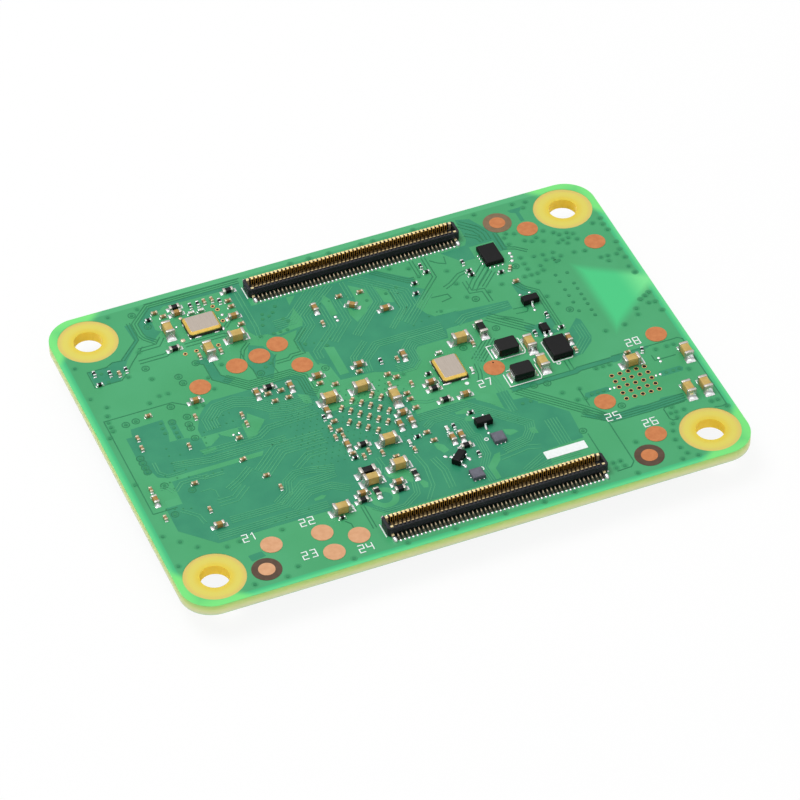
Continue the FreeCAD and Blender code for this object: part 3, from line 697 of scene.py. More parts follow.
def floor_finish():
    """A white floor that the camera sees as white, and that keeps a faint shadow."""
    made = Finish("white_floor", (242, 242, 242), 0.9, 0.0, 0.1)
    made.mottle(60.0, (242, 242, 242), (244, 244, 244))
    glow = add_node(made.tree, "ShaderNodeEmission", {"Color": WHITE, "Strength": 1.0})
    camera_ray = made.tree.nodes.new("ShaderNodeLightPath").outputs["Is Camera Ray"]
    share = operate(made.tree, "MULTIPLY", camera_ray, FLOOR_GLOW)
    layers = {"Fac": share, 1: made.shader.outputs["BSDF"], 2: glow.outputs["Emission"]}
    blend = add_node(made.tree, "ShaderNodeMixShader", layers)
    feed(made.tree, made.tree.nodes["Material Output"].inputs["Surface"], blend.outputs["Shader"])
    return made.material


# Each dull finish has a colour, the one it wanders to, a roughness, the size of its patches, the depth of
# its grain and a specular level. A metal has a roughness, a share of metal, a size and a depth. Last
# comes the size of the grain, where it isn't the usual one.
GREEN_MASK = mask_finish()
FIBREGLASS = laminate_finish()
FIELD_TEAL = dull("mask_over_laminate", (42, 132, 98), (50, 140, 102), 0.38, 2.5, 0.001, MASK_SPECULAR)
FIELD_GREEN = dull("mask_over_plane", (62, 153, 98), (71, 162, 109), 0.38, 2.5, 0.001, MASK_SPECULAR)
GAP_DARK = dull("mask_in_gaps", (32, 116, 76), (42, 126, 84), 0.38, 2.0, 0.001, MASK_SPECULAR)
TRACK_GREEN = dull("mask_over_track", (64, 152, 108), (74, 160, 112), 0.36, 2.0, 0.001, MASK_SPECULAR)
HALO_GREEN = dull("mask_round_via", (54, 146, 94), (61, 153, 100), 0.38, 0.8, 0.001, MASK_SPECULAR)
VIA_GREEN = dull("mask_over_via", (42, 128, 84), (52, 136, 90), 0.4, 0.6, 0.002, 0.3)
SHADE_GREEN = dull("bare_gap_and_painted_shade", (26, 40, 34), (34, 52, 44), 0.5, 0.6, 0.002, MATT)
PLASTIC = dull("connector_moulding", (30, 31, 36), (38, 39, 45), 0.5, 0.6, 0.003, 0.3, 0.05)
FAR_CONTACT = contact_finish("far_contact_plating_and_painted_light", FAR_ROW)
NEAR_CONTACT = contact_finish("near_contact_plating_and_painted_light", NEAR_ROW)
HOLD_DOWN_METAL = metal("hold_down_metal", CREAM, (226, 206, 160), 0.3, 0.55, 0.3)
BLADE_GOLD = metal("blade_gold", (222, 166, 66), (238, 188, 84), 0.35, 0.3)
BLADE_GREY = metal("blade_grey", (110, 90, 58), (128, 106, 70), 0.4, 0.2)
PAINTED_HIGHLIGHT_NEAR_BLADES = metal("near_blade_painted_highlight", (206, 186, 134), (190, 168, 118), 0.35, 0.3)
PAINTED_HIGHLIGHT_HOOK_CAPS = metal("hook_cap_painted_highlight", CREAM, (240, 208, 140), 0.28, 0.5, 0.15)
PAINTED_SHADE_CHANNEL_FLOOR = dull("channel_floor", (34, 26, 14), (46, 36, 20), 0.5, 0.3, 0.002, MATT)
TIN = metal("bright_solder", (238, 240, 240), (216, 218, 218), 0.2, 0.9, 0.25, 0.006, 0.15)
END_METAL = metal("plated_ends", (206, 200, 192), (182, 176, 168), 0.34, 0.75, 0.2, 0.006, 0.1)
TAN_METAL = metal("small_plated_ends", (212, 198, 176), (190, 172, 146), 0.36, 0.5, 0.15, 0.004)
LARGE_CERAMIC = dull("large_ceramic", (198, 170, 100), (184, 154, 86), 0.45, 0.5, 0.003, 0.3)
SMALL_CERAMIC = dull("small_ceramic", (160, 132, 90), (144, 114, 72), 0.45, 0.3, 0.003, 0.3)
CAP_CERAMIC = dull("capacitor_ceramic", (170, 134, 76), (150, 114, 60), 0.45, 0.3, 0.003, 0.3)
RESISTOR_COAT = dull("resistor_coat", (20, 20, 22), (30, 30, 32), 0.4, 0.4, 0.002, MATT)
MOULD_BLACK = dull("moulding_compound", (8, 8, 10), (13, 13, 15), 0.5, 0.5, 0.005, MATT)
MOULD_GREY = dull("grey_moulding", (86, 86, 98), (98, 98, 110), 0.5, 0.5, 0.004, 0.5, 0.05)
PACKAGE = dull("package_ceramic", (44, 38, 34), (58, 50, 44), 0.5, 0.4, 0.003, 0.3)
LID = lid_finish()
FERRITE = dull("ferrite", (9, 9, 10), (14, 14, 15), 0.34, 0.35, 0.006, 0.25, 0.12)
SUBSTRATE = dull("substrate_green", (48, 112, 72), (58, 124, 82), 0.38, 1.5, 0.002)
SPREADER = metal("nickel_lid", (170, 170, 172), (184, 184, 184), 0.3, 0.9, 1.4, 0.002, 0.2)
SHIELD = metal("shield_tin", (196, 196, 194), (208, 208, 206), 0.3, 0.95, 2.0, 0.002, 0.2)
SOCKET_PLASTIC = dull("socket_moulding", (226, 222, 208), (234, 230, 218), 0.5, 0.4, 0.003)
SOCKET_GOLD = metal("socket_plating", (226, 188, 104), (238, 206, 130), 0.26, 1.0, 0.5)
COPPER = dull("test_pad_copper", (190, 116, 70), (200, 126, 78), 0.5, 0.5, 0.002, 0.3, metallic=0.1)
PALE_COPPER = dull("pale_copper", (206, 152, 112), (214, 162, 122), 0.5, 0.5, 0.002, 0.3, metallic=0.1)
DARK_RING = dull("target_ring", (78, 60, 46), (88, 68, 54), 0.45, 0.6, 0.002, 0.3)
HAZY_RING = dull("hazy_target_ring", (118, 98, 72), (126, 104, 80), 0.45, 0.6, 0.002, 0.3)
HOLE_GOLD = metal("plated_hole", (222, 170, 110), (236, 186, 128), 0.34, 0.5)
HOLE_PAINTED_SHADE = dull("open_hole_painted_shade", (16, 12, 8), (26, 18, 12), 0.6, 0.2, 0.001, MATT)
PRINT_WHITE = dull("white_print", (240, 244, 243), (232, 238, 236), 0.55, 0.3, 0.003, bump_size=0.06)
LINK_METAL = metal("pale_link", (206, 200, 190), (220, 214, 204), 0.34, 0.6, 0.4, 0.003)


# The board

BOARD_STEPS = 14
HOLE_CORNERS = 48
BARE_RING_CORNERS = 64
COOLING_CORNERS = 12
COOLING_COUNT = 5
COOLING_PITCH = 0.82
COOLING_RADIUS = 0.15
NETWORK_LOW, NETWORK_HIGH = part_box("network_chip")
COOLING_X = (NETWORK_LOW.x + NETWORK_HIGH.x) / 2 / MILLIMETRE
COOLING_Y = (NETWORK_LOW.y + NETWORK_HIGH.y) / 2 / MILLIMETRE


def cooling_places():
    """The middles of the cooling holes."""
    offsets = [(index - (COOLING_COUNT - 1) / 2) * COOLING_PITCH for index in range(COOLING_COUNT)]
    return [(COOLING_X + x, COOLING_Y + y) for x in offsets for y in offsets]


def corner_circles(radius, corners):
    """A circle round each corner hole's middle."""
    return [circle(side_x * HOLE_X, side_y * HOLE_Y, radius, corners) for side_x, side_y in CORNERS]


def make_board():
    """The laminate and the mask on its two faces, which leaves a bare ring round each corner hole."""
    outline = [rounded_outline(BOARD_LENGTH, BOARD_WIDTH, CORNER_RADIUS, BOARD_STEPS)]
    drilled = [circle(x, y, COOLING_RADIUS, COOLING_CORNERS) for x, y in cooling_places()]
    holes = corner_circles(HOLE_RADIUS, HOLE_CORNERS)
    core = Shape()
    plate(core, outline + holes + drilled, -BOARD_THICKNESS + MASK, -MASK)
    core.make("laminate_core", FIBREGLASS, ["circuit_board"])
    bare = corner_circles(BARE_RING_RADIUS, BARE_RING_CORNERS)
    mask = Shape()
    plate(mask, outline + bare + drilled, -MASK, 0.0)
    plate(mask, outline + bare + drilled, -BOARD_THICKNESS, -BOARD_THICKNESS + MASK)
    mask.make("solder_mask", GREEN_MASK, ["circuit_board"])


TEST_PADS = [
    (-12.5, 8.05), (-10.1, 8.5), (-8.0, 9.35), (-16.6, 6.7), (-6.9, 5.85),
    (24.8, -3.05), (16.7, -9.5), (19.75, 15.15), (24.9, 11.0), (19.2, -15.15), (9.2, -1.4),
]
PALE_TEST_PADS = [(-18.0, -14.8), (-13.3, -15.15), (-13.2, -17.8), (-10.4, -16.7)]
# Targets: a place, whether the middle is pale, and whether the ring is hazy
TARGETS = [(17.45, 17.05, False, True), (-19.47, -17.47, True, False), (17.5, -17.45, False, False)]
TEST_PAD_RADIUS = 1.0
TARGET_RADIUS = 0.77
TARGET_OVERLAP = 0.99
TARGET_RING_RADIUS = 1.38
PAD_CORNERS = 40


def make_test_pads():
    """Round bare copper pads, and the three targets in dark rings."""
    copper = Shape()
    pale = Shape()
    dark = Shape()
    hazy = Shape()
    for shape, places in ((copper, TEST_PADS), (pale, PALE_TEST_PADS)):
        for x, y in places:
            prism(shape, circle(x, y, TEST_PAD_RADIUS, PAD_CORNERS), 0.0, PAD_TOP)
    for x, y, is_pale, is_hazy in TARGETS:
        prism(pale if is_pale else copper, circle(x, y, TARGET_RADIUS, PAD_CORNERS), 0.0, PAD_TOP)
        ring_shape = hazy if is_hazy else dark
        ring(ring_shape, x, y, TARGET_RADIUS * TARGET_OVERLAP, TARGET_RING_RADIUS, 0.0, VIA_TOP, PAD_CORNERS)
    copper.make("test_pads", COPPER)
    pale.make("pale_test_pads", PALE_COPPER)
    dark.make("target_rings", DARK_RING)
    hazy.make("hazy_target_ring", HAZY_RING)


# Chips with two ends: a node, how far its metal reaches along the body and its solder beyond it, then
# the body's finish and slot, and the finish of the ends
CHIP_KINDS = [
    ("small_capacitors", 0.17, 0.08, SMALL_CERAMIC, "capacitor_ceramic", TAN_METAL),
    ("medium_capacitors", 0.25, 0.3, CAP_CERAMIC, "capacitor_ceramic", END_METAL),
    ("large_capacitors", 0.32, 0.42, LARGE_CERAMIC, "capacitor_ceramic", END_METAL),
    ("small_resistors", 0.15, 0.08, RESISTOR_COAT, "resistor_black", TIN),
    ("medium_resistors", 0.24, 0.3, RESISTOR_COAT, "resistor_black", END_METAL),
    ("ferrite_beads", 0.34, 0.42, FERRITE, "resistor_black", END_METAL),
    ("link_chips", 0.16, 0.1, LINK_METAL, "link_tin", TIN),
    ("underside_capacitors", 0.17, 0.12, SMALL_CERAMIC, "capacitor_ceramic", TAN_METAL),
]
# Shares of a chip's width or height, whichever is less
BODY_INSET = 0.06
CHIP_EDGE = 0.1
# The share of a chip's height that its solder climbs
SOLDER_CLIMB = 0.7
SOLDER_OVERLAP = 0.02
CHIP_PAD_CORNER = 0.06
CHIP_PAD_STEPS = 3
CHIP_PAD_TOP = PAD_TOP / 2


def make_chips(node, band, reach, finish, slot, metal_finish):
    """The bodies, the plated ends with their solder, and the pads, of one node's chips."""
    bodies = Shape()
    ends = Shape()
    solder = Shape()
    for place, length, width, foot, top in standing_parts(node):
        inset = min(width, top) * BODY_INSET
        edge = min(width, top) * CHIP_EDGE
        low = (-length / 2 + inset, -width / 2 + inset, foot + inset)
        high = (length / 2 - inset, width / 2 - inset, top - inset)
        rounded_box(bodies, place, low, high, edge)
        for side in (-1, 1):
            outer = side * length / 2
            inner = side * (length / 2 - band)
            low = (min(inner, outer), -width / 2, foot)
            high = (max(inner, outer), width / 2, top)
            rounded_box(ends, place, low, high, edge)
            end = place.beside(outer - side * SOLDER_OVERLAP, 0.0, 0.0 if side > 0 else 180.0)
            fillet(solder, end, reach, width, top * SOLDER_CLIMB)
            pad = place.beside(outer + side * (reach - band) / 2, 0.0)
            outline = rounded_outline(reach + band, width, CHIP_PAD_CORNER, CHIP_PAD_STEPS)
            prism(solder, outline, 0.0, CHIP_PAD_TOP, pad)
    bodies.make(node + "_bodies", finish, [node])
    ends.make(node + "_ends", metal_finish, [node])
    solder.make(node + "_solder", TIN)


# CAD nodes that keep their shape

FLAT_DEGREES = 1.0
EDGE_DEGREES = 35.0


def dress(node, finish, edge, steps):
    """Gives a CAD node its finish and rounds its edges, by a width in millimetres and in some steps."""
    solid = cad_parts[node]
    solid.data.materials.clear()
    solid.data.materials.append(finish)
    weld = solid.modifiers.new("joined_corners", "WELD")
    weld.merge_threshold = SAME_POINT
    flat = solid.modifiers.new("whole_faces", "DECIMATE")
    flat.decimate_type = "DISSOLVE"
    flat.angle_limit = math.radians(FLAT_DEGREES)
    bevel = solid.modifiers.new("soft_edges", "BEVEL")
    bevel.width = edge * MILLIMETRE
    bevel.segments = steps
    bevel.limit_method = "ANGLE"
    bevel.angle_limit = math.radians(EDGE_DEGREES)


# A finish, the width and the steps of its rounded edges, and the nodes that have it
KEPT_NODES = [
    (PLASTIC, 0.02, 1, ("far_connector_housing", "near_connector_housing")),
    (FAR_CONTACT, 0.015, 1, ("far_connector_contacts",)),
    (NEAR_CONTACT, 0.015, 1, ("near_connector_contacts",)),
    (HOLD_DOWN_METAL, 0.015, 1, ("connector_hold_downs",)),
    (PACKAGE, 0.03, 2, ("far_crystal_base", "middle_crystal_base", "underside_crystal_base")),
    (LID, 0.02, 2, ("far_crystal_lid", "middle_crystal_lid", "underside_crystal_lid")),
    (FERRITE, 0.07, 3, ("inductor_cores", "underside_inductor_cores")),
    (TIN, 0.02, 2, ("inductor_straps", "underside_inductor_straps", "transistor_leads", "switch_leads")),
    (MOULD_BLACK, 0.03, 2, ("regulator_chip", "bridge_chip", "switch_body")),
    (MOULD_BLACK, 0.04, 2, ("transistor_bodies", "network_chip", "power_chip")),
    (MOULD_BLACK, 0.05, 2, ("memory_chip", "storage_chip")),
    (MOULD_GREY, 0.03, 2, ("sensor_chips",)),
    (SUBSTRATE, 0.04, 2, ("processor_substrate",)),
    (SPREADER, 0.12, 3, ("processor_lid",)),
    (SUBSTRATE, 0.03, 2, ("radio_base",)),
    (SHIELD, 0.08, 3, ("radio_shield",)),
    (SOCKET_PLASTIC, 0.04, 2, ("aerial_socket_base",)),
    (SOCKET_GOLD, 0.03, 2, ("aerial_socket_ring",)),
    (SOCKET_GOLD, 0.02, 2, ("aerial_socket_pin",)),
]


# The copper pattern under the mask, read off the photograph

# Mask straight on the laminate
TEAL_FIELDS = [
    [(-17.4, 18.75), (-8.2, 18.75), (-8.4, 18.2), (-13.5, 18.25), (-15.9, 18.4), (-16.5, 17.9),
     (-17.6, 17.3), (-17.7, 15.6), (-17.3, 15.2), (-18.5, 14.1), (-18.9, 15.0), (-19.0, 16.9)],
    [(-25.4, 12.6), (-23.4, 12.5), (-22.9, 12.9), (-22.1, 12.9), (-20.0, 14.9), (-20.2, 17.2),
     (-19.6, 17.2), (-19.6, 14.9), (-21.5, 12.7), (-22.3, 11.4), (-23.0, 10.4), (-25.4, 10.4)],
    [(-16.0, 10.0), (-15.2, 9.4), (-15.2, 7.2), (-14.0, 6.1), (-13.4, 6.5), (-14.3, 7.5), (-14.3, 10.2),
     (-15.2, 10.3)],
    [(-9.7, 18.4), (-8.3, 18.4), (-8.3, 11.0), (-9.4, 11.2), (-9.8, 12.0)],
    [(-8.3, 15.2), (4.3, 15.2), (7.1, 12.85), (6.6, 11.8), (7.6, 11.0), (5.8, 9.2), (6.4, 7.7),
     (9.3, 7.0), (14.0, 6.6), (14.0, 5.4), (11.2, 5.3), (7.2, 5.2), (6.9, 4.0), (3.8, 4.0), (3.4, 3.5),
     (3.3, 2.2), (2.5, 1.55), (1.0, 1.5), (-1.2, 2.4), (-4.4, 2.6), (-4.6, 4.6), (-5.6, 5.4), (-5.7, 7.3),
     (-6.2, 7.5), (-6.3, 9.2), (-5.6, 10.5), (-7.6, 10.2), (-8.3, 11.0)],
    [(-10.5, 10.3), (-11.4, 8.2), (-11.2, 6.0), (-10.0, 5.2), (-9.0, 7.2), (-8.7, 8.0), (-9.3, 9.6)],
    [(-16.3, 4.65), (-12.5, 4.65), (-8.0, 4.9), (-7.2, 4.2), (-7.2, 0.3), (-14.0, 0.2), (-15.3, 0.4),
     (-18.8, 0.5), (-18.8, 1.5), (-18.0, 3.2), (-17.1, 4.2)],
    [(-25.2, 2.9), (-24.6, 2.9), (-24.4, 3.9), (-21.3, 4.0), (-21.4, 2.3), (-21.7, 1.0), (-20.2, 0.9),
     (-18.7, 0.3), (-7.4, 0.3), (-7.4, -1.0), (0.4, -1.0), (0.3, -4.3), (6.0, -4.4), (9.3, -8.6),
     (13.2, -9.4), (13.0, -13.0), (9.4, -13.2), (9.0, -15.1), (-7.0, -15.1), (-8.4, -13.5), (-9.0, -12.8),
     (-22.2, -12.8), (-25.0, -10.0), (-25.0, -6.9), (-23.4, -6.6), (-23.3, -3.4), (-24.3, -2.9),
     (-24.5, -2.2), (-25.2, -2.2)],
    [(8.0, -4.6), (9.1, -4.6), (9.1, -6.0), (10.2, -6.1), (13.2, -9.4), (9.3, -8.6), (7.9, -6.7)],
    [(9.4, -4.5), (15.9, -4.5), (16.3, -4.3), (19.6, -4.3), (19.8, -4.1), (23.4, -4.1), (23.4, -4.4),
     (20.7, -4.6), (20.2, -5.0), (19.5, -5.0), (19.5, -4.8), (16.4, -4.8), (15.9, -5.05), (9.6, -5.05)],
    [(17.5, 0.5), (18.9, 1.9), (19.2, 1.5), (19.2, -0.9), (18.9, -1.6), (17.5, -2.8), (16.6, -2.9),
     (16.6, 0.3)],
    [(14.0, 2.9), (15.0, 2.5), (15.9, 2.5), (16.9, 4.2), (16.9, 2.0), (16.3, 1.4), (16.9, 0.8),
     (14.7, 0.7), (14.0, 2.0)],
    [(15.2, 8.5), (15.8, 8.6), (16.4, 7.4), (17.0, 6.7), (15.3, 6.7)],
    [(13.9, 19.0), (15.2, 18.6), (16.3, 16.4), (16.9, 15.6), (16.9, 13.2), (16.1, 13.2), (16.1, 14.9),
     (13.6, 14.9), (13.6, 13.2), (12.3, 13.2), (10.8, 15.1), (13.4, 15.3), (13.8, 16.0)],
    [(14.0, -10.0), (16.3, -11.4), (19.3, -11.1), (20.1, -11.4), (21.1, -11.4), (21.6, -11.0),
     (23.8, -11.2), (23.6, -12.2), (16.6, -12.2), (14.6, -11.0)],
    [(-20.4, -15.3), (-19.1, -15.2), (-18.9, -15.9), (-20.3, -16.1)],
    [(-21.0, 3.6), (-20.3, 3.6), (-20.3, 1.0), (-21.0, 1.0)],
    [(19.0, 18.3), (20.4, 18.3), (20.2, 17.9), (20.0, 17.7), (20.0, 16.4), (19.6, 16.4), (19.6, 17.7),
     (19.2, 17.9)],
    [(15.5, -7.75), (17.7, -7.75), (17.9, -8.1), (17.7, -8.45), (15.5, -8.45), (15.3, -8.1)],
    [(22.9, -7.75), (25.0, -7.75), (25.2, -8.1), (25.0, -8.45), (22.9, -8.45), (22.7, -8.1)],
]

# Planes of copper that stand as islands in those fields
GREEN_FIELDS = [
    [(-4.8, 13.4), (-4.6, 11.6), (-4.9, 10.8), (-7.5, 10.5), (-7.6, 10.9), (-6.2, 11.2)],
    [(-5.0, 13.9), (-4.0, 15.0), (-4.9, 15.1)],
    [(3.2, 13.3), (4.2, 12.4), (4.2, 10.5), (3.3, 10.8)],
    [(1.0, 14.4), (2.4, 13.2), (2.4, 11.4), (0.4, 9.8), (1.0, 12.5)],
    [(-2.1, 13.2), (-1.6, 14.0), (-1.2, 13.2), (-1.3, 11.0), (-1.9, 11.0)],
    [(0.0, 12.6), (0.2, 10.9), (1.7, 10.6), (0.0, 9.3), (-0.3, 10.5)],
    [(-4.2, 7.3), (-3.3, 7.0), (-3.3, 3.2), (-4.2, 3.2)],
    [(-5.4, 5.5), (-4.8, 5.0), (-4.6, 2.7), (-5.4, 2.7)],
    [(6.3, 7.9), (9.3, 7.5), (9.3, 7.1), (6.9, 7.2)],
    [(-13.9, 1.8), (-12.7, 0.4), (-14.2, -1.3), (-15.0, -1.4), (-14.9, 0.6), (-14.3, 0.9)],
    [(-8.8, 2.4), (-7.9, 1.9), (-7.9, 0.8), (-8.6, 1.0)],
    [(-24.8, -6.0), (-23.5, -6.0), (-23.4, -6.9), (-24.8, -6.9)],
    [(-24.0, -3.35), (-14.3, -3.35), (-14.6, -3.9), (-24.0, -3.9)],
    [(-19.6, -1.1), (-18.1, -1.1), (-18.1, -1.6), (-19.4, -1.7)],
    [(-18.9, 0.3), (-17.3, 0.3), (-17.3, -0.1), (-18.4, -0.9), (-18.9, -0.9)],
    [(-17.2, 0.3), (-15.4, 0.3), (-15.4, -0.2), (-16.3, -0.6), (-17.1, 0.0)],
    [(-12.4, -10.9), (-11.6, -10.7), (-11.2, -10.9), (-11.6, -11.2), (-12.4, -11.2)],
    [(-5.4, -10.3), (-3.4, -10.6), (-3.0, -11.3), (-3.4, -12.4), (-5.2, -11.0)],
    [(-2.9, -12.6), (-2.5, -12.4), (-2.2, -12.9), (-2.4, -13.5), (-2.8, -13.4)],
    [(3.5, -13.2), (4.7, -11.9), (5.3, -11.8), (4.9, -12.8), (4.1, -13.6), (4.1, -14.9), (3.6, -15.0)],
    [(6.1, -3.5), (7.9, -4.8), (7.9, -6.5), (6.0, -4.7)],
    [(3.5, -5.5), (4.9, -5.3), (5.0, -5.6), (4.4, -6.0), (3.6, -5.8)],
    [(6.7, -9.2), (7.6, -9.6), (7.9, -10.0), (7.0, -10.2), (6.7, -9.9)],
    [(4.2, -6.4), (4.8, -6.3), (4.9, -6.9), (4.4, -7.1), (3.9, -6.8)],
    [(0.2, -8.3), (1.0, -9.0), (1.2, -9.8), (0.6, -10.0), (0.2, -9.2)],
    [(11.3, -6.8), (11.9, -7.1), (11.9, -7.7), (11.0, -7.3)],
    [(8.9, -10.0), (9.5, -10.0), (9.5, -10.9), (8.9, -10.7)],
]

# Dark gaps between tracks and planes: how many run side by side, how far apart, and their path
GAP_LINES = [
    (3, 0.27, [(-8.2, 18.95), (-17.3, 18.95), (-19.2, 17.1), (-19.2, 15.5), (-19.0, 14.9),
        (-18.2, 14.0)]),
    (1, 0.3, [(-8.0, 19.3), (-17.5, 19.3)]),
    (2, 0.3, [(-19.75, 17.4), (-19.75, 14.95), (-21.9, 12.85)]),
    (1, 0.3, [(-21.9, 12.85), (-22.9, 12.95), (-23.6, 12.55), (-25.5, 12.55), (-25.5, 10.35),
        (-22.9, 10.35), (-22.3, 10.9), (-21.2, 12.2), (-19.6, 13.9)]),
    (2, 0.42, [(-20.1, 13.55), (-18.2, 13.55), (-17.5, 14.4)]),
    (2, 0.42, [(-20.6, 12.0), (-18.0, 12.0), (-17.4, 12.35)]),
    (2, 0.42, [(-15.9, 12.5), (-11.9, 12.5)]),
    (1, 0.3, [(-26.3, -7.15), (-26.3, 5.8), (-19.7, 5.8), (-18.5, 4.9)]),
    (1, 0.3, [(-26.3, -7.15), (-24.0, -7.15)]),
    (1, 0.3, [(-14.4, 10.3), (-14.3, 7.5), (-13.3, 6.5)]),
    (1, 0.3, [(-16.0, 10.0), (-15.25, 9.4), (-15.25, 7.2), (-14.1, 6.1)]),
    (5, 0.26, [(-14.2, 6.9), (-12.4, 5.2), (-8.4, 5.2), (-7.5, 4.3), (-7.5, 2.4), (-6.9, 1.9)]),
    (1, 0.3, [(-11.5, 9.8), (-11.55, 8.2), (-11.3, 7.0), (-11.3, 5.9), (-10.9, 5.6)]),
    (2, 0.35, [(-9.0, 7.1), (-7.7, 7.1), (-7.3, 7.45), (-6.2, 7.45), (-6.2, 9.2), (-4.9, 10.5)]),
    (1, 0.3, [(-8.6, 8.1), (-9.1, 7.6), (-9.4, 6.8), (-9.3, 5.8)]),
    (2, 0.3, [(-10.4, 10.6), (-11.2, 9.9), (-11.7, 8.8)]),
    (1, 0.3, [(-11.6, 12.6), (-12.0, 12.6)]),
    (2, 0.3, [(-11.6, 13.4), (-10.4, 14.6), (-10.0, 14.6)]),
    (2, 0.3, [(-8.75, -13.4), (-8.75, -16.4)]),
    (1, 0.3, [(-10.9, -14.6), (-10.5, -15.1), (-10.5, -15.8)]),
    (3, 0.26, [(3.7, 15.3), (6.5, 12.75), (7.2, 12.75)]),
    (2, 0.33, [(7.75, 15.2), (7.75, 13.0)]),
    (2, 0.33, [(9.0, 15.2), (9.0, 12.3), (6.6, 9.9)]),
    (1, 0.3, [(4.35, 12.4), (4.35, 9.6)]),
    (2, 0.36, [(12.2, 11.9), (11.2, 11.7), (10.0, 10.8), (9.3, 10.5)]),
    (1, 0.3, [(9.4, 14.6), (10.0, 14.0), (10.7, 13.6), (10.9, 14.6)]),
    (3, 0.42, [(14.1, 12.0), (12.3, 10.2), (11.5, 9.2)]),
    (3, 0.34, [(14.3, 11.0), (12.6, 9.3)]),
    (2, 0.36, [(11.3, 10.6), (11.3, 9.05), (12.5, 8.85), (12.55, 7.1)]),
    (1, 0.3, [(7.6, 9.7), (9.2, 9.6), (9.3, 9.0), (8.3, 8.8)]),
    (4, 0.34, [(11.3, 5.3), (14.6, 2.1)]),
    (2, 0.3, [(12.2, 4.9), (13.3, 4.2), (14.2, 3.4)]),
    (5, 0.3, [(10.6, 2.5), (8.2, 0.1)]),
    (2, 0.34, [(7.9, -0.2), (7.7, -1.6), (7.4, -2.4)]),
    (4, 0.3, [(9.9, -5.0), (14.7, -9.8), (16.2, -11.6)]),
    (1, 0.3, [(13.55, -12.7), (13.55, -15.4)]),
    (1, 0.3, [(16.45, 15.8), (16.45, 13.3)]),
    (2, 0.3, [(16.65, 15.9), (16.65, 13.5), (17.6, 13.1), (18.5, 12.3)]),
    (3, 0.4, [(13.9, 18.4), (15.2, 17.1), (15.6, 16.2), (15.6, 15.2)]),
    (2, 0.36, [(13.9, 16.7), (14.9, 15.9), (15.1, 15.2)]),
    (3, 0.26, [(15.6, 8.6), (16.1, 7.6), (17.05, 6.7), (17.05, 1.7)]),
    (1, 0.3, [(14.0, 5.3), (15.1, 5.2), (15.35, 4.9), (15.1, 4.5), (14.0, 4.6)]),
    (2, 0.4, [(15.7, -3.0), (15.7, -4.5)]),
    (1, 0.3, [(19.7, -4.15), (22.2, -4.2), (26.4, -4.2), (26.8, -4.5), (26.8, -14.0), (26.3, -14.15),
        (25.6, -14.0)]),
    (1, 0.3, [(23.2, -5.5), (23.2, -6.25), (25.3, -6.25)]),
    (2, 0.55, [(9.4, -4.75), (15.9, -4.75), (16.3, -4.55), (19.6, -4.55)]),
    (1, 0.3, [(15.2, -7.0), (15.2, -9.4)]),
    (1, 0.3, [(15.9, -11.5), (15.9, -17.6), (15.4, -18.15), (14.0, -18.2)]),
    (1, 0.3, [(23.4, -12.25), (21.4, -12.3), (21.2, -12.5), (21.2, -13.8), (21.4, -14.1),
        (21.9, -14.15)]),
    (4, 0.3, [(14.2, -10.0), (16.4, -11.75), (20.0, -11.8), (23.7, -11.65)]),
]

